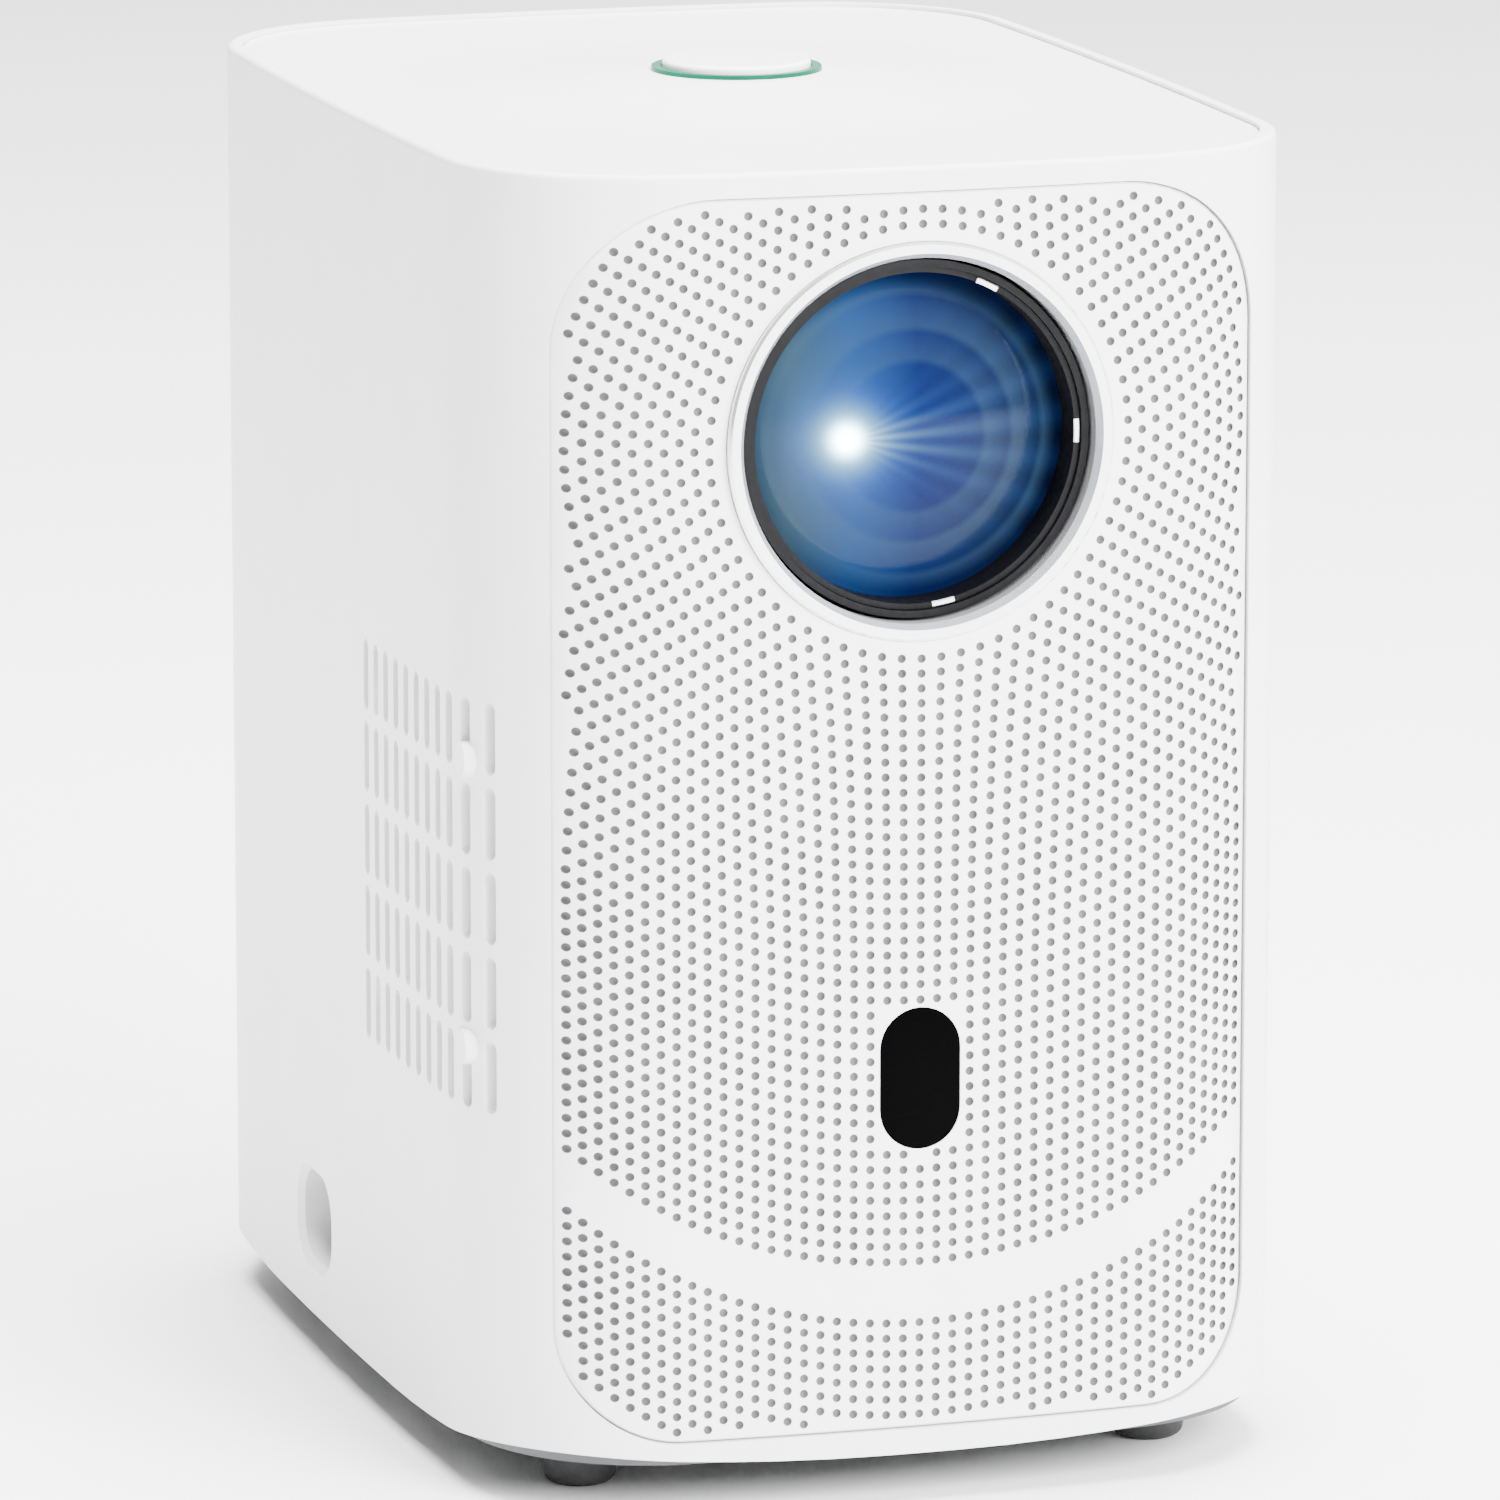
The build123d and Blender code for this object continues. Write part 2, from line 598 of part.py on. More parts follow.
def screw_set(name, planes, shank, head, head_height, length):
    """Group of pan-head screws: each plane's origin is under the head, its normal points out."""
    with BuildPart() as screws:
        for plane in planes:
            with BuildSketch(plane):
                Circle(head)
            extrude(amount=head_height)
            with BuildSketch(plane):
                Circle(shank)
            extrude(amount=-length)
            with BuildSketch(plane.offset(head_height)):
                Rectangle(1.3 * head, head / 4)
                Rectangle(head / 4, 1.3 * head)
            extrude(amount=-head_height / 2, mode=Mode.SUBTRACT)
    finish(screws, name)


def facing(x, y, z, direction):
    """Plane at a point whose normal is a direction."""
    return Plane(origin=(x, y, z), z_dir=direction)


board_posts = [
    facing(
        BOARD_POST_CIRCLE * cos(radians(angle)),
        BOARD_POST_CIRCLE * sin(radians(angle)),
        BUTTON_BOARD_TOP - BOARD_THICK,
        (0, 0, -1),
    )
    for angle in (90, 210, 330)
]
screw_set(
    "button_board_screws",
    board_posts,
    SCREW_RADIUS,
    SCREW_HEAD_RADIUS,
    SCREW_HEAD_HEIGHT,
    BOARD_THICK + POST_BITE - 0.5,
)

# ---------------------------------------------------------------------------
# Front panel and infrared window
# ---------------------------------------------------------------------------
WINDOW_FLANGE_BACK = PANEL_BACK + CONTACT_GAP + 1.2

with BuildPart() as front_panel:
    add(curved_layer(panel_face(), FORWARD, PANEL_RECESS, PANEL_BACK))
    extrude(lens_disc(BEZEL_RADIUS + CONTACT_GAP), amount=HALF_DEPTH, mode=Mode.SUBTRACT)
    extrude(window_slot(CONTACT_GAP), amount=HALF_DEPTH, mode=Mode.SUBTRACT)
finish(front_panel, "front_panel")

with BuildPart() as infrared_window:
    add(curved_layer(window_slot(), FORWARD, PANEL_RECESS, WINDOW_FLANGE_BACK))
    add(
        curved_layer(
            window_slot(WINDOW_FLANGE), FORWARD, PANEL_BACK + CONTACT_GAP, WINDOW_FLANGE_BACK
        )
    )
finish(infrared_window, "infrared_window")

BOX_INSIDE_X = SPEAKER_X - SPEAKER_BOX_HALF_WIDTH
RECEIVER_RADIUS = 3.0
with BuildPart() as receiver_board:
    with BuildSketch(Plane.XZ.offset(-SPEAKER_BOX_FRONT)):
        with Locations((0, WINDOW_Z)):
            Rectangle(2 * BOX_INSIDE_X, WINDOW_HEIGHT)
    extrude(amount=-BOARD_THICK)
    with BuildSketch(Plane.XZ.offset(-SPEAKER_BOX_FRONT)):
        with Locations((0, WINDOW_Z + WINDOW_HEIGHT / 5), (0, WINDOW_Z - WINDOW_HEIGHT / 5)):
            Circle(RECEIVER_RADIUS)
    extrude(amount=2 * RECEIVER_RADIUS)
finish(receiver_board, "infrared_receiver_board")

# ---------------------------------------------------------------------------
# Lens: bezel, barrel and its glass, holder and focus drive
# ---------------------------------------------------------------------------
with BuildPart() as lens_bezel:
    with BuildSketch(LENS_PLANE):
        with BuildLine():
            Polyline(
                (BEZEL_BORE, FACE_Y + BEZEL_BEVEL),
                (BEZEL_BORE + BEZEL_BEVEL, FACE_Y - BEZEL_PROUD),
                (BEZEL_RADIUS - BEZEL_BEVEL / 2, FACE_Y - BEZEL_PROUD),
                (BEZEL_RADIUS, FACE_Y - BEZEL_PROUD + BEZEL_BEVEL / 2),
                (BEZEL_RADIUS, FACE_Y + BEZEL_SEAT),
                (BEZEL_RADIUS + BEZEL_FLANGE, FACE_Y + BEZEL_SEAT),
                (BEZEL_RADIUS + BEZEL_FLANGE, FACE_Y + BEZEL_SEAT + BEZEL_FLANGE_THICK),
                (BEZEL_RADIUS, FACE_Y + BEZEL_SEAT + BEZEL_FLANGE_THICK),
                (BEZEL_RADIUS, FACE_Y + BEZEL_DEPTH),
                (BEZEL_BORE, FACE_Y + BEZEL_DEPTH),
                close=True,
            )
        make_face()
    revolve(axis=LENS_AXIS)
finish(lens_bezel, "lens_bezel")

BARREL_BACK = BARREL_Y + BARREL_LENGTH
GLASS_RADIUS = BORE_RADIUS - GLASS_GAP
FRONT_RIM = BARREL_Y + FRONT_VERTEX + FRONT_SAG
FRONT_HOLLOW = 2.0         # depth of the front glass's hollow back
RING_SEAT = 0.5            # a curved face meets the ring that holds it this far from the rim
FRONT_BACK = FRONT_RIM + GLASS_EDGE
MIDDLE_FRONT = FRONT_BACK + 7.0
MIDDLE_SAG = 2.5
REAR_FRONT = MIDDLE_FRONT + 12.0
REAR_SAG = 3.5
SPACER_LIP = 2.0
BARREL_FLOOR = 2.0         # lip at the barrel's rear end that the glass stack seats on

with BuildPart() as lens_barrel:
    with BuildSketch(LENS_PLANE):
        with BuildLine():
            Polyline(
                (BORE_RADIUS, BARREL_Y),
                (BARREL_RADIUS, BARREL_Y),
                (BARREL_RADIUS, BARREL_BACK),
                (BORE_RADIUS - 2 * SPACER_LIP, BARREL_BACK),
                (BORE_RADIUS - 2 * SPACER_LIP, BARREL_BACK - BARREL_FLOOR),
                (BORE_RADIUS, BARREL_BACK - BARREL_FLOOR),
                close=True,
            )
        make_face()
    revolve(axis=LENS_AXIS)
finish(lens_barrel, "lens_barrel")

with BuildPart() as retainer:
    add(tube_profile(GLASS_RADIUS - RETAINER_WIDTH, GLASS_RADIUS, BARREL_Y + 0.8, FRONT_RIM - RING_SEAT))
    revolve(axis=LENS_AXIS)
finish(retainer, "lens_retaining_ring")


def glass(name, radius, front, back, front_sag, back_sag):
    """Round lens between two rim planes; a positive sag bulges outward, a negative one is hollow."""
    with BuildPart() as element:
        with BuildSketch(LENS_PLANE):
            with BuildLine():
                TangentArc((0, front - front_sag), (radius, front), tangent=(1, 0))
                Line((radius, front), (radius, back))
                TangentArc((0, back + back_sag), (radius, back), tangent=(1, 0))
                Line((0, back + back_sag), (0, front - front_sag))
            make_face()
        revolve(axis=LENS_AXIS)
    finish(element, name)


glass("lens_front_glass", GLASS_RADIUS, FRONT_RIM, FRONT_BACK, FRONT_SAG, -FRONT_HOLLOW)
glass(
    "lens_middle_glass",
    MIDDLE_GLASS_RADIUS,
    MIDDLE_FRONT,
    MIDDLE_FRONT + 2 * MIDDLE_SAG + 2,
    -MIDDLE_SAG,
    -MIDDLE_SAG,
)
glass(
    "lens_rear_glass",
    REAR_GLASS_RADIUS,
    REAR_FRONT,
    REAR_FRONT + GLASS_EDGE,
    REAR_SAG,
    REAR_SAG,
)

with BuildPart() as front_spacer:
    with BuildSketch(LENS_PLANE):
        with BuildLine():
            Polyline(
                (GLASS_RADIUS - RETAINER_WIDTH, FRONT_BACK),
                (GLASS_RADIUS, FRONT_BACK),
                (GLASS_RADIUS, MIDDLE_FRONT + GLASS_EDGE),
                (MIDDLE_GLASS_RADIUS + GLASS_GAP, MIDDLE_FRONT + GLASS_EDGE),
                (MIDDLE_GLASS_RADIUS + GLASS_GAP, MIDDLE_FRONT),
                (MIDDLE_GLASS_RADIUS - SPACER_LIP, MIDDLE_FRONT),
                (MIDDLE_GLASS_RADIUS - SPACER_LIP, MIDDLE_FRONT - 1),
                (MIDDLE_GLASS_RADIUS + SPACER_LIP, MIDDLE_FRONT - 1),
                close=True,
            )
        make_face()
    revolve(axis=LENS_AXIS)
finish(front_spacer, "front_lens_spacer")

MIDDLE_BACK = MIDDLE_FRONT + 2 * MIDDLE_SAG + 2
REAR_BACK = REAR_FRONT + GLASS_EDGE
with BuildPart() as rear_spacer:
    with BuildSketch(LENS_PLANE):
        with BuildLine():
            Polyline(
                (MIDDLE_GLASS_RADIUS + GLASS_GAP, MIDDLE_FRONT + GLASS_EDGE),
                (GLASS_RADIUS, MIDDLE_FRONT + GLASS_EDGE),
                (GLASS_RADIUS, BARREL_BACK - BARREL_FLOOR),
                (REAR_GLASS_RADIUS - SPACER_LIP, BARREL_BACK - BARREL_FLOOR),
                (REAR_GLASS_RADIUS - SPACER_LIP, REAR_BACK + 1.2 * RING_SEAT),
                (REAR_GLASS_RADIUS + GLASS_GAP, REAR_BACK + 1.2 * RING_SEAT),
                (REAR_GLASS_RADIUS + GLASS_GAP, REAR_FRONT),
                (MIDDLE_GLASS_RADIUS + GLASS_GAP, MIDDLE_BACK),
                close=True,
            )
        make_face()
    revolve(axis=LENS_AXIS)
finish(rear_spacer, "rear_lens_spacer")

CAGE_FRONT = FACE_Y + HOLDER_FRONT + HOLDER_RING
CAGE_BACK = CAGE_FRONT + HOLDER_CAGE
HOLDER_BORE = BARREL_RADIUS + SLIDE_GAP
LENS_LUG_MIDDLE = (HOLDER_BORE + HOLDER_WALL / 2 + POST_CIRCLE) / 2
LENS_LUG_LENGTH = POST_CIRCLE - HOLDER_BORE - HOLDER_WALL / 2
LUG_SPANS = ((FACE_Y + HOLDER_FRONT, CAGE_FRONT), (CAGE_BACK, CAGE_BACK + HOLDER_RING))
with BuildPart() as lens_holder:
    add(tube_profile(HOLDER_BORE, HOLDER_BORE + HOLDER_WALL, FACE_Y + HOLDER_FRONT, CAGE_FRONT))
    add(tube_profile(HOLDER_BORE, HOLDER_BORE + HOLDER_WALL, CAGE_BACK, HOLDER_Y))
    revolve(axis=LENS_AXIS)
    for angle in POST_ANGLES:
        turned = Plane(lens_plane(0).location * Rotation(0, 0, angle))
        for front, back in LUG_SPANS:
            with BuildSketch(turned.offset(-front)):
                with Locations((LENS_LUG_MIDDLE, 0)):
                    Rectangle(LENS_LUG_LENGTH, LUG_WIDTH)
            extrude(amount=front - back)
        with BuildSketch(turned.offset(-FACE_Y - HOLDER_FRONT)):
            with Locations((POST_CIRCLE, 0)):
                Circle(POST_RADIUS)
        extrude(amount=FACE_Y + HOLDER_FRONT - HOLDER_Y)
        with BuildSketch(turned.offset(-HOLDER_Y)):
            with Locations((POST_CIRCLE, 0)):
                Circle(SCREW_RADIUS + SCREW_GAP)
        extrude(amount=POST_BITE, mode=Mode.SUBTRACT)
finish(lens_holder, "lens_holder")


def gear_face(plane, teeth, first_angle, bore):
    """Straight-flanked spur gear, thinned for backlash, with one tooth centred on first_angle."""
    pitch = GEAR_MODULE * teeth / 2
    tip = pitch + 0.85 * GEAR_MODULE
    root = pitch - 1.1 * GEAR_MODULE
    half = (pi * GEAR_MODULE / 2 - GEAR_BACKLASH) / 2
    flank = tan(radians(20))
    points = []
    for tooth in range(teeth):
        middle = radians(first_angle) + 2 * pi * tooth / teeth
        for side, radius in ((-1, root), (-1, tip), (1, tip), (1, root)):
            width = (half - (radius - pitch) * flank) / pitch
            points.append((radius * cos(middle + side * width), radius * sin(middle + side * width)))
    with BuildSketch(plane) as sketch:
        with BuildLine():
            Polyline(*points, close=True)
        make_face()
        if bore:
            Circle(bore, mode=Mode.SUBTRACT)
    return sketch.sketch


GEAR_FRONT = CAGE_FRONT + (HOLDER_CAGE - GEAR_WIDTH) / 2
CENTRE_DISTANCE = GEAR_MODULE * (RING_TEETH + PINION_TEETH) / 2 + GEAR_BACKLASH / 2
PINION_X = CENTRE_DISTANCE * cos(radians(PINION_ANGLE))
PINION_Z = CENTRE_DISTANCE * sin(radians(PINION_ANGLE))
HALF_TOOTH = 180.0 / PINION_TEETH

with BuildPart() as focus_ring:
    add(
        tube_profile(
            HOLDER_BORE,
            HOLDER_BORE + FOCUS_HUB,
            CAGE_FRONT + CONTACT_GAP,
            CAGE_BACK - CONTACT_GAP,
        )
    )
    revolve(axis=LENS_AXIS)
    extrude(
        gear_face(lens_plane(GEAR_FRONT), RING_TEETH, PINION_ANGLE, HOLDER_BORE),
        amount=-GEAR_WIDTH,
    )
finish(focus_ring, "focus_ring")


FRESNEL_STEP = 5.0
FRESNEL_GROOVE = 0.4


def pinion_plane(y):
    """Plane across the focus motor's axis at y."""
    return Plane(origin=(PINION_X, y, LENS_Z + PINION_Z), x_dir=(1, 0, 0), z_dir=(0, -1, 0))


MOTOR_Y = FACE_Y + MOTOR_START
MOTOR_BORE_DEPTH = 12.0
LUG_THICK = 2.0
with BuildPart() as focus_motor:
    with BuildSketch(pinion_plane(MOTOR_Y)):
        Circle(MOTOR_RADIUS)
    extrude(amount=MOTOR_Y - HOLDER_Y)
    with BuildSketch(pinion_plane(HOLDER_Y)):
        with Locations((-MOTOR_LUG / 2, 0)):
            SlotOverall(MOTOR_LUG + LUG_WIDTH, LUG_WIDTH)
        with Locations((-MOTOR_LUG, 0)):
            Circle(SCREW_RADIUS + SCREW_GAP, mode=Mode.SUBTRACT)
    extrude(amount=LUG_THICK)
    with BuildSketch(pinion_plane(MOTOR_Y)):
        Circle(MOTOR_SHAFT_RADIUS + SHAFT_GAP)
    extrude(amount=-MOTOR_BORE_DEPTH, mode=Mode.SUBTRACT)
finish(focus_motor, "focus_motor")

PINION_FRONT = GEAR_FRONT - CONTACT_GAP
with BuildPart() as focus_pinion:
    extrude(
        gear_face(pinion_plane(PINION_FRONT), PINION_TEETH, PINION_ANGLE + 180 + HALF_TOOTH, 0),
        amount=PINION_FRONT - (MOTOR_Y - CONTACT_GAP),
    )
    with BuildSketch(pinion_plane(MOTOR_Y - CONTACT_GAP)):
        Circle(MOTOR_SHAFT_RADIUS)
    extrude(amount=-(MOTOR_BORE_DEPTH - 1))
finish(focus_pinion, "focus_pinion")

# ---------------------------------------------------------------------------
# Optical engine
# ---------------------------------------------------------------------------
ENGINE_Z = LENS_Z - ENGINE_BELOW
ENGINE_TOP = LENS_Z + ENGINE_ABOVE - COVER_THICK
ENGINE_MIDDLE_Y = (HOLDER_Y + ENGINE_BACK) / 2
ENGINE_LENGTH = ENGINE_BACK - HOLDER_Y
ENGINE_HEIGHT = ENGINE_TOP - ENGINE_Z
PANE_HALF_WIDTH = 46.0
RAIL_WIDTH = 8.0
RAIL_FRONT = FIELD_LENS_Y - 4.0
RAIL_BACK = CONDENSER_Y + 6.0
RAIL_X = ENGINE_HALF_WIDTH - ENGINE_WALL - RAIL_WIDTH / 2
PANES = (
    (FIELD_LENS_Y, PANE_THICK),
    (LCD_Y, LCD_THICK),
    (FRESNEL_Y, PANE_THICK),
    (HEAT_GLASS_Y, PANE_THICK),
    (CONDENSER_Y, PANE_THICK),
)
PANE_Z = ENGINE_Z + ENGINE_WALL + CONTACT_GAP
PANE_HEIGHT = ENGINE_TOP - PANE_Z - PANE_GAP
CORNER_POST_X = ENGINE_HALF_WIDTH - 3.5
CORNER_POST_Y = ENGINE_LENGTH / 2 - 3.5
SINK_Z = LENS_Z + (ENGINE_ABOVE - ENGINE_BELOW) / 2
SINK_SCREW_X = (SINK_HALF_WIDTH + FIN_HALF_WIDTH) / 2 + 0.5
SINK_SCREW_Z = SINK_HALF_HEIGHT - 5.0
LAMP_OPENING = LAMP_SIDE + 2


def box_between(x_span, y_span, z_span, mode=Mode.ADD):
    """Block between pairs of limits."""
    corners = list(zip(x_span, y_span, z_span))
    with Locations(tuple((low + high) / 2 for low, high in zip(*corners))):
        Box(*(high - low for low, high in zip(*corners)), mode=mode)


with BuildPart() as engine_housing:
    with BuildSketch(Plane.XY.offset(ENGINE_Z)):
        with Locations((0, ENGINE_MIDDLE_Y)):
            Rectangle(2 * ENGINE_HALF_WIDTH, ENGINE_LENGTH)
    extrude(amount=ENGINE_HEIGHT)
    with BuildSketch(Plane.XY.offset(ENGINE_Z + ENGINE_WALL)):
        with Locations((0, ENGINE_MIDDLE_Y)):
            Rectangle(2 * (ENGINE_HALF_WIDTH - ENGINE_WALL), ENGINE_LENGTH - 2 * ENGINE_WALL)
    extrude(amount=ENGINE_HEIGHT, mode=Mode.SUBTRACT)
    # grooved rails that hold the panes
    with BuildSketch(Plane.XY.offset(ENGINE_Z + ENGINE_WALL)):
        for side in (-1, 1):
            with Locations((side * RAIL_X, (RAIL_FRONT + RAIL_BACK) / 2)):
                Rectangle(RAIL_WIDTH, RAIL_BACK - RAIL_FRONT)
    extrude(amount=ENGINE_TOP - ENGINE_Z - ENGINE_WALL)
    with BuildSketch(Plane.XY.offset(ENGINE_Z + ENGINE_WALL)):
        for front, thickness in PANES:
            with Locations((0, front + thickness / 2)):
                Rectangle(2 * (PANE_HALF_WIDTH + PANE_GAP), thickness + 2 * CONTACT_GAP)
    extrude(amount=ENGINE_HEIGHT, mode=Mode.SUBTRACT)
    # posts for the cover's screws
    with BuildSketch(Plane.XY.offset(ENGINE_Z)):
        with Locations((0, ENGINE_MIDDLE_Y)):
            with GridLocations(2 * CORNER_POST_X, 2 * CORNER_POST_Y, 2, 2):
                Circle(STANDOFF_RADIUS)
    extrude(amount=ENGINE_HEIGHT)
    with BuildSketch(Plane.XY.offset(ENGINE_TOP)):
        with Locations((0, ENGINE_MIDDLE_Y)):
            with GridLocations(2 * CORNER_POST_X, 2 * CORNER_POST_Y, 2, 2):
                Circle(SCREW_RADIUS + SCREW_GAP)
    extrude(amount=-2 * POST_BITE, mode=Mode.SUBTRACT)
    # holes for the shelf screws, the lens holder, the focus motor, the lamp and the heat sink
    with BuildSketch(Plane.XY.offset(ENGINE_Z)):
        with GridLocations(2 * ENGINE_SCREW_X, 2 * SHELF_Y, 2, 2):
            Circle(SCREW_RADIUS + SCREW_GAP)
    extrude(amount=ENGINE_WALL, mode=Mode.SUBTRACT)
    with BuildSketch(lens_plane(HOLDER_Y)):
        Circle(BORE_RADIUS - 2 * SPACER_LIP)
        for angle in POST_ANGLES:
            with Locations(
                (POST_CIRCLE * cos(radians(angle)), POST_CIRCLE * sin(radians(angle)))
            ):
                Circle(SCREW_RADIUS + SCREW_GAP)
        with Locations((PINION_X - MOTOR_LUG, PINION_Z)):
            Circle(SCREW_RADIUS + SCREW_GAP)
    extrude(amount=-ENGINE_WALL, mode=Mode.SUBTRACT)
    with BuildSketch(Plane.XZ.offset(-ENGINE_BACK)):
        with Locations((0, SINK_Z)):
            Rectangle(LAMP_OPENING, LAMP_OPENING)
            with GridLocations(2 * SINK_SCREW_X, 2 * SINK_SCREW_Z, 2, 2):
                Circle(SCREW_RADIUS + SCREW_GAP)
    extrude(amount=ENGINE_WALL, mode=Mode.SUBTRACT)
finish(engine_housing, "engine_housing")

with BuildPart() as engine_cover:
    with BuildSketch(Plane.XY.offset(ENGINE_TOP)):
        with Locations((0, ENGINE_MIDDLE_Y)):
            Rectangle(2 * ENGINE_HALF_WIDTH, ENGINE_LENGTH)
            with GridLocations(2 * CORNER_POST_X, 2 * CORNER_POST_Y, 2, 2):
                Circle(SCREW_RADIUS + SCREW_GAP, mode=Mode.SUBTRACT)
    extrude(amount=COVER_THICK)
finish(engine_cover, "engine_cover")


def pane_block(front, thickness):
    """Flat pane that slides down into the engine's rails."""
    box_between(
        (-PANE_HALF_WIDTH, PANE_HALF_WIDTH),
        (front, front + thickness),
        (PANE_Z, PANE_Z + PANE_HEIGHT),
    )


def ringed_pane(front, name):
    """Pane with shallow concentric grooves on its front face."""
    with BuildPart() as pane:
        pane_block(front, PANE_THICK)
        with BuildSketch(lens_plane(front)):
            for step in range(1, 6):
                Circle(FRESNEL_STEP * step)
                Circle(FRESNEL_STEP * step - 1, mode=Mode.SUBTRACT)
        extrude(amount=-FRESNEL_GROOVE, mode=Mode.SUBTRACT)
    finish(pane, name)


ringed_pane(FIELD_LENS_Y, "field_lens")
ringed_pane(FRESNEL_Y, "fresnel_lens")

LCD_BORDER = 5.0
with BuildPart() as lcd_panel:
    pane_block(LCD_Y, LCD_THICK)
    for face, direction in ((LCD_Y, -1), (LCD_Y + LCD_THICK, 1)):
        with BuildSketch(Plane.XZ.offset(-face)):
            with Locations((0, PANE_Z + PANE_HEIGHT / 2)):
                Rectangle(2 * (PANE_HALF_WIDTH - LCD_BORDER), PANE_HEIGHT - 2 * LCD_BORDER)
        extrude(amount=direction * LCD_THICK / 4, mode=Mode.SUBTRACT)
finish(lcd_panel, "lcd_panel")

with BuildPart() as heat_glass:
    pane_block(HEAT_GLASS_Y, PANE_THICK)
finish(heat_glass, "heat_glass")

CONDENSER_RADIUS = 24.0
CONDENSER_SAG = 8.0
CONDENSER_BACK = CONDENSER_Y + PANE_THICK
with BuildPart() as condenser:
    pane_block(CONDENSER_Y, PANE_THICK)
    with BuildSketch(LENS_PLANE):
        with BuildLine():
            TangentArc(
                (0, CONDENSER_BACK + CONDENSER_SAG),
                (CONDENSER_RADIUS, CONDENSER_BACK),
                tangent=(1, 0),
            )
            Polyline(
                (CONDENSER_RADIUS, CONDENSER_BACK),
                (0, CONDENSER_BACK),
                (0, CONDENSER_BACK + CONDENSER_SAG),
            )
        make_face()
    revolve(axis=LENS_AXIS)
finish(condenser, "condenser_lens")

LED_PITCH = 9.0
LED_SIDE = 5.0
with BuildPart() as lamp:
    with BuildSketch(Plane.XZ.offset(-ENGINE_BACK)):
        with Locations((0, SINK_Z)):
            Rectangle(LAMP_SIDE, LAMP_SIDE)
    extrude(amount=LAMP_THICK)
    with BuildSketch(Plane.XZ.offset(LAMP_THICK - ENGINE_BACK)):
        with Locations((0, SINK_Z)):
            with GridLocations(LED_PITCH, LED_PITCH, 3, 3):
                Rectangle(LED_SIDE, LED_SIDE)
    extrude(amount=1)
finish(lamp, "led_lamp")

with BuildPart() as heat_sink:
    with BuildSketch(Plane.XZ.offset(-ENGINE_BACK)):
        with Locations((0, SINK_Z)):
            Rectangle(2 * SINK_HALF_WIDTH, 2 * SINK_HALF_HEIGHT)
            with GridLocations(2 * SINK_SCREW_X, 2 * SINK_SCREW_Z, 2, 2):
                Circle(SCREW_RADIUS + SCREW_GAP, mode=Mode.SUBTRACT)
    extrude(amount=-SINK_BASE)
    with BuildSketch(Plane.XZ.offset(-ENGINE_BACK - SINK_BASE)):
        with Locations((0, SINK_Z)):
            with GridLocations((2 * FIN_HALF_WIDTH - FIN_THICK) / (SINK_FINS - 1), 1, SINK_FINS, 1):
                Rectangle(FIN_THICK, 2 * SINK_HALF_HEIGHT)
    extrude(amount=SINK_BASE - SINK_DEPTH)
finish(heat_sink, "heat_sink")

cover_screws = [
    facing(x, ENGINE_MIDDLE_Y + y, LENS_Z + ENGINE_ABOVE, (0, 0, 1))
    for x in (-CORNER_POST_X, CORNER_POST_X)
    for y in (-CORNER_POST_Y, CORNER_POST_Y)
]
screw_set(
    "engine_cover_screws",
    cover_screws,
    SCREW_RADIUS,
    SCREW_HEAD_RADIUS,
    SCREW_HEAD_HEIGHT,
    COVER_THICK + 2 * POST_BITE - 1,
)
shelf_screws = [
    facing(x, y, ENGINE_Z + ENGINE_WALL, (0, 0, 1))
    for x in (-ENGINE_SCREW_X, ENGINE_SCREW_X)
    for y in (-SHELF_Y, SHELF_Y)
]
holder_screws = [
    facing(
        POST_CIRCLE * cos(radians(angle)),
        HOLDER_Y + ENGINE_WALL,
        LENS_Z + POST_CIRCLE * sin(radians(angle)),
        (0, 1, 0),
    )
    for angle in POST_ANGLES
]
motor_screw = facing(PINION_X - MOTOR_LUG, HOLDER_Y + ENGINE_WALL, LENS_Z + PINION_Z, (0, 1, 0))
sink_screws = [
    facing(x, ENGINE_BACK + SINK_BASE, SINK_Z + z, (0, 1, 0))
    for x in (-SINK_SCREW_X, SINK_SCREW_X)
    for z in (-SINK_SCREW_Z, SINK_SCREW_Z)
]
screw_set(
    "engine_mounting_screws",
    shelf_screws + holder_screws + [motor_screw],
    SCREW_RADIUS,
    SCREW_HEAD_RADIUS,
    SCREW_HEAD_HEIGHT,
    ENGINE_WALL + LUG_THICK,
)
screw_set(
    "heat_sink_screws",
    sink_screws,
    SCREW_RADIUS,
    SCREW_HEAD_RADIUS,
    SCREW_HEAD_HEIGHT,
    SINK_BASE + ENGINE_WALL,
)

# ---------------------------------------------------------------------------
# Fans
# ---------------------------------------------------------------------------
FAN_BACK_PLATE = 1.6       # thickness of the spokes that hold the motor
FAN_BOSS_RADIUS = 3.4
FAN_BOSS_LENGTH = 4.0
SHAFT_LENGTH = 7.0
HUB_FRONT = 0.5            # hub's face behind the fan's front face
HUB_LENGTH = FAN_DEPTH - FAN_BACK_PLATE - HUB_FRONT - 0.3
HUB_SKIN = 1.5
BLADE_ROOT = HUB_RADIUS - 0.8
FAN_Z = LENS_Z - 2.0
EXHAUST_Y = 85.0


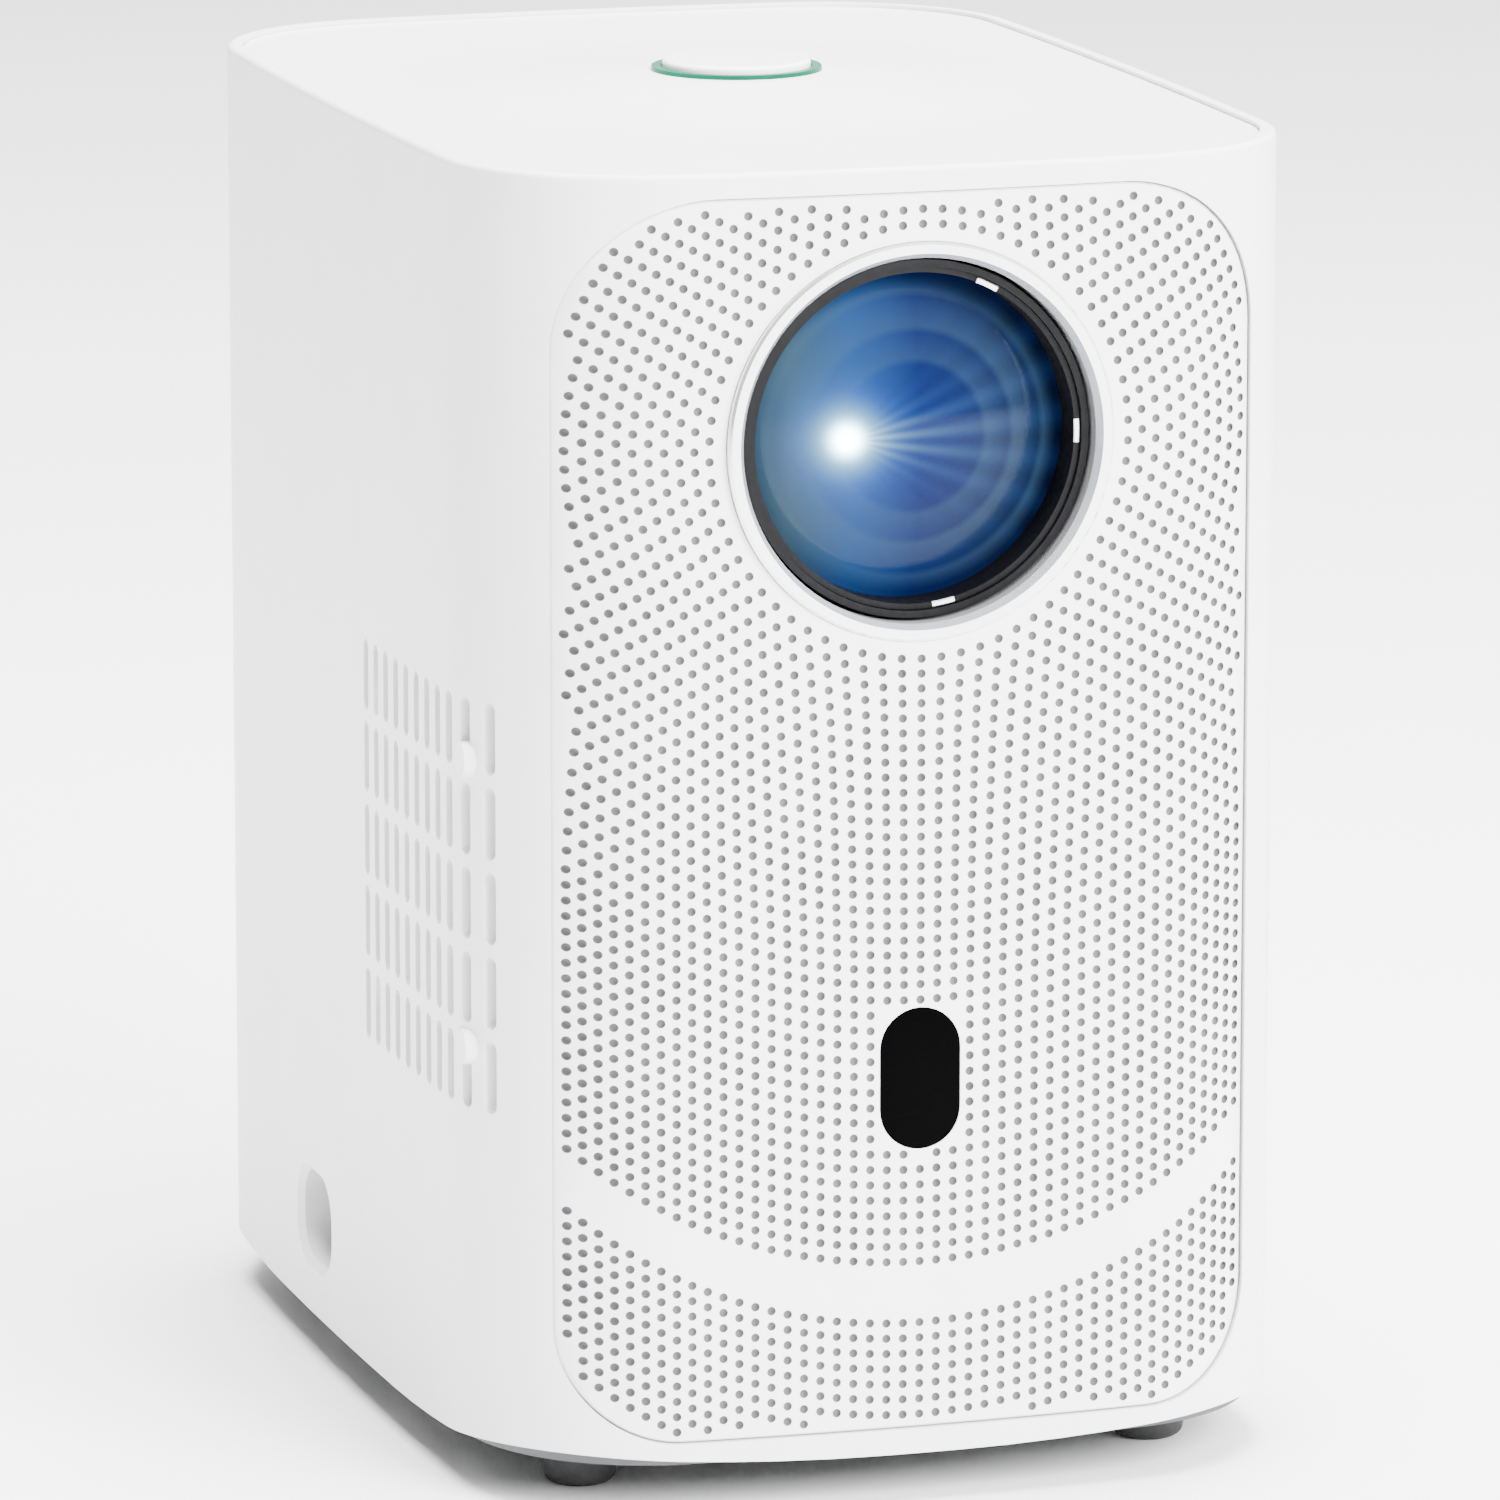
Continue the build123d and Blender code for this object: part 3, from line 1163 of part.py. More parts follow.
def fan_frame(plane, name):
    """Square fan frame; the plane lies on its open side and its normal points along the shaft."""
    with BuildPart() as frame:
        with BuildSketch(plane):
            RectangleRounded(FAN_SIZE, FAN_SIZE, FAN_CORNER)
            Circle(FAN_BORE, mode=Mode.SUBTRACT)
            with GridLocations(FAN_HOLES, FAN_HOLES, 2, 2):
                Circle(SCREW_RADIUS + SCREW_GAP, mode=Mode.SUBTRACT)
        extrude(amount=FAN_DEPTH)
        with BuildSketch(plane.offset(FAN_DEPTH - FAN_BACK_PLATE)):
            Circle(HUB_RADIUS)
            with PolarLocations((HUB_RADIUS + FAN_BORE) / 2, 4, start_angle=45):
                Rectangle(FAN_BORE - HUB_RADIUS + 2, 2.4)
        extrude(amount=FAN_BACK_PLATE)
        with BuildSketch(plane.offset(FAN_DEPTH - FAN_BACK_PLATE)):
            Circle(FAN_BOSS_RADIUS)
        extrude(amount=-FAN_BOSS_LENGTH)
        with BuildSketch(plane.offset(FAN_DEPTH - 1)):
            Circle(SHAFT_RADIUS + SHAFT_GAP)
        extrude(amount=-FAN_DEPTH, mode=Mode.SUBTRACT)
    finish(frame, name)


def fan_rotor(plane, name):
    """Hub, shaft and tilted curved blades, on the same plane as the frame."""
    with BuildPart() as rotor:
        with BuildSketch(plane.offset(HUB_FRONT)):
            Circle(HUB_RADIUS)
        extrude(amount=HUB_LENGTH)
        fillet(rotor.edges().filter_by(GeomType.CIRCLE).sort_by(Axis(plane.origin, plane.z_dir))[0], 1)
        with BuildSketch(plane.offset(HUB_FRONT + HUB_SKIN)):
            Circle(HUB_RADIUS - HUB_SKIN)
        extrude(amount=HUB_LENGTH, mode=Mode.SUBTRACT)
        with BuildSketch(plane.offset(HUB_FRONT + HUB_SKIN)):
            Circle(SHAFT_RADIUS)
        extrude(amount=SHAFT_LENGTH - HUB_SKIN)
        for blade in range(BLADES):
            turned = plane.location * Rotation(0, 0, blade * 360 / BLADES)
            root = turned * Location((BLADE_ROOT, 0, HUB_FRONT + HUB_LENGTH / 2))
            with BuildSketch(Plane(root * Rotation(0, 90, 0))):
                with BuildLine(Location((0, 0, 0), (0, 0, 90 - BLADE_TILT))):
                    Polyline(
                        (-BLADE_CHORD / 2, -BLADE_THICK / 2),
                        (0, BLADE_THICK / 2),
                        (BLADE_CHORD / 2, -BLADE_THICK / 2),
                        (BLADE_CHORD / 2, BLADE_THICK / 2),
                        (0, 1.5 * BLADE_THICK),
                        (-BLADE_CHORD / 2, BLADE_THICK / 2),
                        close=True,
                    )
                make_face()
            extrude(amount=FAN_BORE - BLADE_TIP_GAP - BLADE_ROOT)
    finish(rotor, name)


exhaust_plane = Plane(origin=(0, EXHAUST_Y, FAN_Z), x_dir=(1, 0, 0), z_dir=(0, 1, 0))
intake_frame_plane = Plane(
    origin=(INTAKE_FAN_X + FAN_DEPTH / 2, VENT_Y, SHELL_Z + VENT_RISE),
    x_dir=(0, 1, 0),
    z_dir=(-1, 0, 0),
)
fan_frame(exhaust_plane, "exhaust_fan_frame")
fan_rotor(exhaust_plane, "exhaust_fan_rotor")
fan_frame(intake_frame_plane, "intake_fan_frame")
fan_rotor(intake_frame_plane, "intake_fan_rotor")

exhaust_screws = [
    facing(x, EXHAUST_Y, FAN_Z + z, (0, -1, 0))
    for x in (-FAN_HOLES / 2, FAN_HOLES / 2)
    for z in (-FAN_HOLES / 2, FAN_HOLES / 2)
]
intake_screws = [
    facing(INTAKE_FAN_X + FAN_DEPTH / 2, VENT_Y + y, SHELL_Z + VENT_RISE + z, (1, 0, 0))
    for y in (-FAN_HOLES / 2, FAN_HOLES / 2)
    for z in (-FAN_HOLES / 2, FAN_HOLES / 2)
]
screw_set(
    "fan_screws",
    exhaust_screws + intake_screws,
    SCREW_RADIUS,
    SCREW_HEAD_RADIUS,
    SCREW_HEAD_HEIGHT,
    FAN_DEPTH + POST_BITE - 0.5,
)

# ---------------------------------------------------------------------------
# Loudspeakers
# ---------------------------------------------------------------------------
SPEAKER_Z = SHELL_Z + SPEAKER_RISE
SPEAKER_BORE = SPEAKER_RADIUS - 1.5
CONE_RADIUS = SPEAKER_RADIUS - 2.7
MAGNET_RADIUS = 12.5


def speaker_plane(x):
    """Plane that a loudspeaker's profile is drawn on, through its axis."""
    return Plane(origin=(x, 0, SPEAKER_Z), x_dir=(1, 0, 0), z_dir=(0, 0, 1))


def speaker_set(x, side_name):
    """Sealed box, driver frame with its magnet, and cone, centred on x."""
    axis = Axis((x, 0, SPEAKER_Z), (0, 1, 0))
    front = SPEAKER_BOX_FRONT
    with BuildPart() as box:
        box_between(
            (x - SPEAKER_BOX_HALF_WIDTH, x + SPEAKER_BOX_HALF_WIDTH),
            (front, SPEAKER_BOX_BACK),
            (BASE_TOP, SHELL_Z + SPEAKER_BOX_HIGH),
        )
        fillet(box.edges().filter_by(Axis.Z), radius=3)
        box_between(
            (x - SPEAKER_BOX_HALF_WIDTH + BOX_WALL, x + SPEAKER_BOX_HALF_WIDTH - BOX_WALL),
            (front + BOX_WALL, SPEAKER_BOX_BACK - BOX_WALL),
            (BASE_TOP + BOX_WALL, SHELL_Z + SPEAKER_BOX_HIGH - BOX_WALL),
            Mode.SUBTRACT,
        )
        with BuildSketch(Plane(origin=(x, front, SPEAKER_Z), x_dir=(1, 0, 0), z_dir=(0, -1, 0))):
            Circle(SPEAKER_BORE)
        extrude(amount=-BOX_WALL, mode=Mode.SUBTRACT)
    finish(box, f"{side_name}_speaker_box")
    with BuildPart() as driver:
        with BuildSketch(speaker_plane(x)):
            with BuildLine():
                Polyline(
                    (SPEAKER_RADIUS - 2.4, front - 1.5),
                    (SPEAKER_RADIUS, front - 1.5),
                    (SPEAKER_RADIUS, front),
                    (SPEAKER_BORE - CONTACT_GAP, front),
                    (SPEAKER_BORE - CONTACT_GAP, front + 2),
                    (MAGNET_RADIUS, front + 10),
                    (MAGNET_RADIUS, front + 20),
                    (0, front + 20),
                    (0, front + 8.5),
                    (11, front + 8.5),
                    (SPEAKER_RADIUS - 2.4, front),
                    close=True,
                )
            make_face()
        revolve(axis=axis)
    finish(driver, f"{side_name}_speaker")
    with BuildPart() as cone:
        with BuildSketch(speaker_plane(x)):
            with BuildLine():
                Polyline(
                    (CONE_RADIUS, front - 0.5),
                    (5, front + 5.6),
                    (0, front + 5.6),
                    (0, front + 2.8),
                    (2.5, front + 3.1),
                    (4.6, front + 3.9),
                    (5.9, front + 4.4),
                    (CONE_RADIUS - 0.4, front - 1),
                    (CONE_RADIUS, front - 1),
                    close=True,
                )
            make_face()
        revolve(axis=axis)
    finish(cone, f"{side_name}_speaker_cone")


speaker_set(-SPEAKER_X, "left")
speaker_set(SPEAKER_X, "right")

# ---------------------------------------------------------------------------
# Rear panel, main board and its sockets
# ---------------------------------------------------------------------------
PORT_Z = SHELL_Z + PORT_RISE
MAIN_BOARD_THICK = 1.6
BOARD_BACK = MAIN_BOARD_Y + MAIN_BOARD_THICK
SOCKET_Y = HALF_DEPTH - SOCKET_FACE
BOARD_MIDDLE_Z = SHELL_Z + (MAIN_BOARD_LOW + MAIN_BOARD_HIGH) / 2
BOARD_HOLES_X = 2 * (MAIN_BOARD_HALF_WIDTH - 5.0)
BOARD_HOLES_Z = MAIN_BOARD_HIGH - MAIN_BOARD_LOW - 10.0
HDMI_WIDTH = 15.0
HDMI_HEIGHT = 5.6
USB_WIDTH = 13.2
USB_HEIGHT = 5.8
SOCKET_WALL = 0.5
HDMI_CAVITY = 11.0
USB_CAVITY = 12.0
AUDIO_RADIUS = 3.2
AUDIO_BODY_WIDTH = 7.0
AUDIO_BODY_HEIGHT = 6.0


def rear_wall_y(x):
    """Y of the middle of the rear panel's thickness at x."""
    return -surface_y(x, PANEL_RECESS + PANEL_THICK / 2)


def facing_back(y):
    """Plane across Y that faces the back, with X to the viewer's left."""
    return Plane(origin=(0, y, 0), x_dir=(-1, 0, 0), z_dir=(0, 1, 0))


def hdmi_outline(y, grow):
    """Cross-section of the video socket at y, its lower corners cut, facing the back."""
    half = HDMI_WIDTH / 2 + grow
    high = HDMI_HEIGHT / 2 + grow
    cut = HDMI_HEIGHT / 3
    with BuildSketch(facing_back(y)) as sketch:
        with Locations((-HDMI_X, PORT_Z)):
            Polygon(
                (-half, high),
                (-half, cut - high),
                (cut - half, -high),
                (half - cut, -high),
                (half, cut - high),
                (half, high),
                align=None,
            )
    return sketch.sketch


with BuildPart() as rear_panel:
    add(curved_layer(rear_face(), BACKWARD, PANEL_RECESS, PANEL_BACK))
    for width, x, y, z in (
        (BOARD_HOLES_X, MAIN_BOARD_HALF_WIDTH - 5.0, BOARD_BACK, BOARD_MIDDLE_Z),
        (FAN_HOLES, FAN_HOLES / 2, EXHAUST_Y + FAN_DEPTH, FAN_Z),
    ):
        height = BOARD_HOLES_Z if z == BOARD_MIDDLE_Z else FAN_HOLES
        with BuildSketch(facing_back(y)):
            with Locations((0, z)):
                with GridLocations(width, height, 2, 2):
                    Circle(STANDOFF_RADIUS)
                    Circle(SCREW_RADIUS + SCREW_GAP, mode=Mode.SUBTRACT)
        extrude(amount=POST_BITE)
        with BuildSketch(facing_back(y + POST_BITE)):
            with Locations((0, z)):
                with GridLocations(width, height, 2, 2):
                    Circle(STANDOFF_RADIUS)
        extrude(amount=rear_wall_y(x) - y - POST_BITE)
    extrude(hdmi_outline(BOARD_BACK, PORT_GAP), amount=HALF_DEPTH, mode=Mode.SUBTRACT)
    with BuildSketch(facing_back(BOARD_BACK)):
        with Locations((-USB_X, PORT_Z)):
            Rectangle(USB_WIDTH + 2 * PORT_GAP, USB_HEIGHT + 2 * PORT_GAP)
        with Locations((-AUDIO_X, PORT_Z)):
            Circle(AUDIO_RADIUS + PORT_GAP)
    extrude(amount=HALF_DEPTH, mode=Mode.SUBTRACT)
    rear_vents = Plane(
        origin=(0, EXHAUST_Y + FAN_DEPTH + POST_BITE, SHELL_Z + REAR_VENT_RISE),
        x_dir=(-1, 0, 0),
        z_dir=(0, 1, 0),
    )
    extrude(
        vent_field(rear_vents, REAR_VENT_COLUMNS, REAR_VENT_ROWS),
        amount=HALF_DEPTH,
        mode=Mode.SUBTRACT,
    )
finish(rear_panel, "rear_panel")

with BuildPart() as main_board:
    with BuildSketch(facing_back(MAIN_BOARD_Y)):
        with Locations((0, BOARD_MIDDLE_Z)):
            Rectangle(2 * MAIN_BOARD_HALF_WIDTH, MAIN_BOARD_HIGH - MAIN_BOARD_LOW)
            with GridLocations(BOARD_HOLES_X, BOARD_HOLES_Z, 2, 2):
                Circle(SCREW_RADIUS + SCREW_GAP, mode=Mode.SUBTRACT)
    extrude(amount=MAIN_BOARD_THICK)
    # processor with its finned cooler, memory chips and capacitors on the inner side
    box_between(
        (-14, 14), (MAIN_BOARD_Y - 2, MAIN_BOARD_Y), (BOARD_MIDDLE_Z - 14, BOARD_MIDDLE_Z + 14)
    )
    for step in range(7):
        box_between(
            (-13.5 + 4.2 * step, -12.0 + 4.2 * step),
            (MAIN_BOARD_Y - 10, MAIN_BOARD_Y - 2),
            (BOARD_MIDDLE_Z - 14, BOARD_MIDDLE_Z + 14),
        )
    with BuildSketch(facing_back(MAIN_BOARD_Y)):
        with Locations((-28, BOARD_MIDDLE_Z), (28, BOARD_MIDDLE_Z)):
            with GridLocations(14, 18, 1, 2):
                Rectangle(11, 13)
    extrude(amount=-1.2)
    with BuildSketch(facing_back(MAIN_BOARD_Y)):
        with Locations((0, BOARD_MIDDLE_Z + 34)):
            with GridLocations(12, 1, 5, 1):
                Circle(3.2)
    extrude(amount=-8)
finish(main_board, "main_board")

with BuildPart() as hdmi_socket:
    extrude(hdmi_outline(BOARD_BACK, 0), amount=SOCKET_Y - BOARD_BACK)
    extrude(
        hdmi_outline(SOCKET_Y, -SOCKET_WALL), amount=-HDMI_CAVITY, mode=Mode.SUBTRACT
    )
    with BuildSketch(facing_back(SOCKET_Y - HDMI_CAVITY)):
        with Locations((-HDMI_X, PORT_Z + 0.4)):
            Rectangle(HDMI_WIDTH - 3, 1.2)
    extrude(amount=HDMI_CAVITY - 1)
finish(hdmi_socket, "hdmi_socket")

with BuildPart() as usb_socket:
    with BuildSketch(facing_back(BOARD_BACK)):
        with Locations((-USB_X, PORT_Z)):
            Rectangle(USB_WIDTH, USB_HEIGHT)
    extrude(amount=SOCKET_Y - BOARD_BACK)
    with BuildSketch(facing_back(SOCKET_Y)):
        with Locations((-USB_X, PORT_Z)):
            Rectangle(USB_WIDTH - 2 * SOCKET_WALL, USB_HEIGHT - 2 * SOCKET_WALL)
    extrude(amount=-USB_CAVITY, mode=Mode.SUBTRACT)
    with BuildSketch(facing_back(SOCKET_Y - USB_CAVITY)):
        with Locations((-USB_X, PORT_Z + 1.3)):
            Rectangle(USB_WIDTH - 2.2, 1.8)
    extrude(amount=USB_CAVITY - 1)
finish(usb_socket, "usb_socket")

with BuildPart() as audio_socket:
    with BuildSketch(facing_back(BOARD_BACK)):
        with Locations((-AUDIO_X, PORT_Z)):
            RectangleRounded(AUDIO_BODY_WIDTH, AUDIO_BODY_HEIGHT, 1)
    extrude(amount=SOCKET_Y - BOARD_BACK - 3)
    with BuildSketch(facing_back(SOCKET_Y)):
        with Locations((-AUDIO_X, PORT_Z)):
            Circle(AUDIO_RADIUS)
    extrude(amount=-3.5)
    with BuildSketch(facing_back(SOCKET_Y)):
        with Locations((-AUDIO_X, PORT_Z)):
            Circle(AUDIO_BORE)
    extrude(amount=-AUDIO_DEPTH, mode=Mode.SUBTRACT)
finish(audio_socket, "audio_socket")

main_board_screws = [
    facing(x, MAIN_BOARD_Y, BOARD_MIDDLE_Z + z, (0, -1, 0))
    for x in (-BOARD_HOLES_X / 2, BOARD_HOLES_X / 2)
    for z in (-BOARD_HOLES_Z / 2, BOARD_HOLES_Z / 2)
]
# ---------------------------------------------------------------------------
# Power jack and power board
# ---------------------------------------------------------------------------
JACK_X = JACK_DEPTH - HALF_WIDTH
COLLAR_END = WALL / 2 - HALF_WIDTH + JACK_DEPTH
JACK_GAP = 0.35
JACK_Z = SHELL_Z + JACK_RISE
JACK_BODY_END = -52.0
POWER_BOARD_TOP = JACK_Z - JACK_HEIGHT / 2 + JACK_GAP
POWER_BOARD_X = (-62.0, -34.0)
POWER_BOARD_Y = (-20.0, 50.0)
POWER_POSTS = [(x, y) for x in (-58.0, -38.0) for y in (-16.0, 46.0)]

with BuildPart() as power_jack:
    extrude(jack_face(JACK_X, -JACK_GAP), amount=JACK_BODY_END - JACK_X)
    extrude(jack_face(COLLAR_END + CONTACT_GAP, COLLAR_WALL), amount=2)
    box_between(
        (-64.0, JACK_BODY_END),
        (JACK_Y - JACK_WIDTH, JACK_Y + JACK_WIDTH),
        (0, POWER_BOARD_TOP),
        Mode.SUBTRACT,
    )
    with BuildSketch(Plane.YZ.offset(JACK_X)):
        with Locations((JACK_Y, JACK_Z)):
            Circle(JACK_BORE)
            Circle(JACK_PIN, mode=Mode.SUBTRACT)
    extrude(amount=JACK_BORE_DEPTH, mode=Mode.SUBTRACT)
finish(power_jack, "power_jack")

with BuildPart() as power_board:
    box_between(POWER_BOARD_X, POWER_BOARD_Y, (POWER_BOARD_TOP - MAIN_BOARD_THICK, POWER_BOARD_TOP))
    with BuildSketch(Plane.XY.offset(POWER_BOARD_TOP)):
        with Locations(*POWER_POSTS):
            Circle(SCREW_RADIUS + SCREW_GAP)
    extrude(amount=-MAIN_BOARD_THICK, mode=Mode.SUBTRACT)
    with BuildSketch(Plane.XY.offset(POWER_BOARD_TOP)):
        with Locations((-48, -6)):
            RectangleRounded(14, 16, 1.5)
    extrude(amount=12)
    with BuildSketch(Plane.XY.offset(POWER_BOARD_TOP)):
        with Locations((-43, 12), (-43, 24), (-43, 36)):
            Circle(4.5)
    extrude(amount=16)
finish(power_board, "power_board")

power_board_screws = [facing(x, y, POWER_BOARD_TOP, (0, 0, 1)) for x, y in POWER_POSTS]
screw_set(
    "board_screws",
    main_board_screws + power_board_screws,
    SCREW_RADIUS,
    SCREW_HEAD_RADIUS,
    SCREW_HEAD_HEIGHT,
    MAIN_BOARD_THICK + POST_BITE - 0.5,
)

# ---------------------------------------------------------------------------
# Base and feet
# ---------------------------------------------------------------------------
INSERT_BOSS_RADIUS = INSERT_RADIUS + 2.0
INSERT_FIT = 0.02
STEM_FIT = 0.1
FOOT_STEM_RADIUS = 2.4
FOOT_STEM_HEIGHT = 2.5
HEAD_POCKET = BASE_SCREW_HEAD_HEIGHT + 0.2

with BuildPart() as base_plate:
    extrude(plan_face(SHELL_Z, WALL + PLATE_GAP), amount=BASE_THICK)
    with BuildSketch(Plane.XY.offset(BASE_TOP)):
        Circle(INSERT_BOSS_RADIUS)
    extrude(amount=INSERT_LENGTH + 2 - BASE_THICK)
    with BuildSketch(Plane.XY.offset(BASE_TOP)):
        with Locations(*POWER_POSTS):
            Circle(STANDOFF_RADIUS)
    extrude(amount=POWER_BOARD_TOP - MAIN_BOARD_THICK - BASE_TOP)
    with BuildSketch(Plane.XY.offset(POWER_BOARD_TOP - MAIN_BOARD_THICK)):
        with Locations(*POWER_POSTS):
            Circle(SCREW_RADIUS + SCREW_GAP)
    extrude(amount=-POST_BITE, mode=Mode.SUBTRACT)
    with BuildSketch(Plane.XY.offset(SHELL_Z)):
        Circle(INSERT_RADIUS + INSERT_FIT)
    extrude(amount=INSERT_LENGTH, mode=Mode.SUBTRACT)
    with BuildSketch(Plane.XY.offset(SHELL_Z)):
        with GridLocations(2 * FOOT_X, 2 * FOOT_Y, 2, 2):
            Circle(FOOT_STEM_RADIUS + STEM_FIT)
        with GridLocations(2 * BOSS_X, 2 * BOSS_Y, 2, 2):
            Circle(BASE_SCREW_RADIUS + STEM_FIT)
    extrude(amount=BASE_THICK, mode=Mode.SUBTRACT)
    with BuildSketch(Plane.XY.offset(SHELL_Z)):
        with GridLocations(2 * BOSS_X, 2 * BOSS_Y, 2, 2):
            Circle(BASE_SCREW_HEAD + PLATE_GAP)
    extrude(amount=HEAD_POCKET, mode=Mode.SUBTRACT)
    with BuildSketch(Plane.XY.offset(SHELL_Z)):
        with Locations((0, BASE_VENT_Y), (0, -BASE_VENT_Y)):
            with GridLocations(
                BASE_VENT_PITCH_X, BASE_VENT_PITCH_Y, BASE_VENT_COLUMNS, BASE_VENT_ROWS
            ):
                SlotOverall(VENT_HEIGHT, VENT_WIDTH, rotation=90)
    extrude(amount=BASE_THICK, mode=Mode.SUBTRACT)
finish(base_plate, "base_plate")

screw_set(
    "base_screws",
    [
        facing(x, y, SHELL_Z + HEAD_POCKET, (0, 0, -1))
        for x in (-BOSS_X, BOSS_X)
        for y in (-BOSS_Y, BOSS_Y)
    ],
    BASE_SCREW_RADIUS,
    BASE_SCREW_HEAD,
    BASE_SCREW_HEAD_HEIGHT,
    BASE_SCREW_LENGTH,
)

with BuildPart() as tripod_insert:
    with BuildSketch(Plane.XY.offset(SHELL_Z)):
        Circle(INSERT_RADIUS)
        Circle(INSERT_BORE, mode=Mode.SUBTRACT)
    extrude(amount=INSERT_LENGTH)
    chamfer(tripod_insert.edges().group_by(Axis.Z)[0].sort_by(SortBy.RADIUS)[0], length=0.6)
finish(tripod_insert, "tripod_insert")

PAD_ROUND = 2.2
FLANGE_ROUND = 0.9


def foot(name, x, y):
    """Rubber foot: stem in the base, wide flange, narrower rounded pad."""
    with BuildPart() as piece:
        with BuildSketch(Plane.XZ) as profile:
            with BuildLine():
                Polyline(
                    (0, 0),
                    (FOOT_PAD_RADIUS, 0),
                    (FOOT_PAD_RADIUS, SHELL_Z - FOOT_FLANGE_HEIGHT),
                    (FOOT_FLANGE_RADIUS, SHELL_Z - FOOT_FLANGE_HEIGHT),
                    (FOOT_FLANGE_RADIUS, SHELL_Z),
                    (FOOT_STEM_RADIUS, SHELL_Z),
                    (FOOT_STEM_RADIUS, SHELL_Z + FOOT_STEM_HEIGHT),
                    (0, SHELL_Z + FOOT_STEM_HEIGHT),
                    close=True,
                )
            make_face()
            fillet(profile.vertices().sort_by_distance((FOOT_PAD_RADIUS, 0))[0], PAD_ROUND)
        revolve(axis=Axis.Z)
        rims = piece.edges().filter_by(GeomType.CIRCLE)
        fillet(rims.filter_by(lambda edge: edge.radius > FOOT_PAD_RADIUS + 0.5), FLANGE_ROUND)
    piece.part.label = name
    placed = Location((x, y, 0)) * piece.part
    placed.label = name
    export_step(placed, f"parts/{name}.step")


foot("front_left_foot", -FOOT_X, -FOOT_Y)
foot("front_right_foot", FOOT_X, -FOOT_Y)
foot("rear_left_foot", -FOOT_X, FOOT_Y)
foot("rear_right_foot", FOOT_X, FOOT_Y)
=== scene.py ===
import json
from math import cos, hypot, pi, radians, sin, sqrt

import bpy
from mathutils import Matrix, Vector
from mathutils.geometry import delaunay_2d_cdt


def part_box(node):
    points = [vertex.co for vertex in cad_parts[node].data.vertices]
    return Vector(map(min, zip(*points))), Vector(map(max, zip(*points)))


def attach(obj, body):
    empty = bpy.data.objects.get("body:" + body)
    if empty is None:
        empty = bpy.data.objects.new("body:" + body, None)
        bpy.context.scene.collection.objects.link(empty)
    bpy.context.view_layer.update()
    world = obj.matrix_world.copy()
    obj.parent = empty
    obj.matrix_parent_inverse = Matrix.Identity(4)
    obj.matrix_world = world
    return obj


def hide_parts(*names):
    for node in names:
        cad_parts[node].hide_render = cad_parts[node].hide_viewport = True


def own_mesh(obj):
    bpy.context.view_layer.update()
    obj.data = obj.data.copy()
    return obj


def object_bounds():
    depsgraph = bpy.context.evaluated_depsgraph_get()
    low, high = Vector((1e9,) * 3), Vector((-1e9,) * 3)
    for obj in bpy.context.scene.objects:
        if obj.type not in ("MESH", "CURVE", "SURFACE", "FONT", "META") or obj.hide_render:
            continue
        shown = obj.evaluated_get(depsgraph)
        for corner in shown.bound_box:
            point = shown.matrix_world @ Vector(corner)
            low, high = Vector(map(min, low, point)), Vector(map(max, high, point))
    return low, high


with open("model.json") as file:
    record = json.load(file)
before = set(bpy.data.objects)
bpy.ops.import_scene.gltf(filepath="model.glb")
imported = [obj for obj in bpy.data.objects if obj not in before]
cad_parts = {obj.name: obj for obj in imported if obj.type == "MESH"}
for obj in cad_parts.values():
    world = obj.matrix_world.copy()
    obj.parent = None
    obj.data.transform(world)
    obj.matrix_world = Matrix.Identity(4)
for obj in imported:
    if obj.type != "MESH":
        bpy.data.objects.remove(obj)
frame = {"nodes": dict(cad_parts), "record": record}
cad_low, cad_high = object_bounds()

# Sizes in metres
MM = 0.001
panel_low, panel_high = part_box("front_panel")
bezel_low, bezel_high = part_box("lens_bezel")
window_low, window_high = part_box("infrared_window")
shell_low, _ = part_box("outer_shell")
LENS_Z = (bezel_low.z + bezel_high.z) / 2
WINDOW_Z = (window_low.z + window_high.z) / 2
PANEL_X = panel_high.x
FRONT_RADIUS = 555 * MM
SIDE_RADIUS = 2200 * MM
CORNER_RADIUS = 36 * MM
PANEL_RECESS = 0.7 * MM
PANEL_THICK = 2.0 * MM
EDGE_ROUND = 0.35 * MM
LENS_HOLE = 34.2 * MM
WINDOW_HALF_WIDTH = 7.2 * MM
WINDOW_HALF_HEIGHT = 12.4 * MM
TOP_CORNER = 26 * MM
LOW_CORNER = 20 * MM


# ---------------------------------------------------------------------------
# Materials
# ---------------------------------------------------------------------------
def new_material(name):
    """Material with an empty node tree, its principled shader and its output."""
    material = bpy.data.materials.new(name)
    material.use_nodes = True
    tree = material.node_tree
    tree.nodes.clear()
    shader = tree.nodes.new("ShaderNodeBsdfPrincipled")
    output = tree.nodes.new("ShaderNodeOutputMaterial")
    tree.links.new(shader.outputs["BSDF"], output.inputs["Surface"])
    return material, tree, shader


def object_noise(tree, scale, detail=3.0, stretch=(1, 1, 1)):
    """Noise over object coordinates; gives its factor socket."""
    coordinates = tree.nodes.new("ShaderNodeTexCoord")
    mapping = tree.nodes.new("ShaderNodeMapping")
    mapping.inputs["Scale"].default_value = stretch
    noise = tree.nodes.new("ShaderNodeTexNoise")
    noise.inputs["Scale"].default_value = scale
    noise.inputs["Detail"].default_value = detail
    tree.links.new(coordinates.outputs["Object"], mapping.inputs["Vector"])
    tree.links.new(mapping.outputs["Vector"], noise.inputs["Vector"])
    return noise.outputs["Fac"]


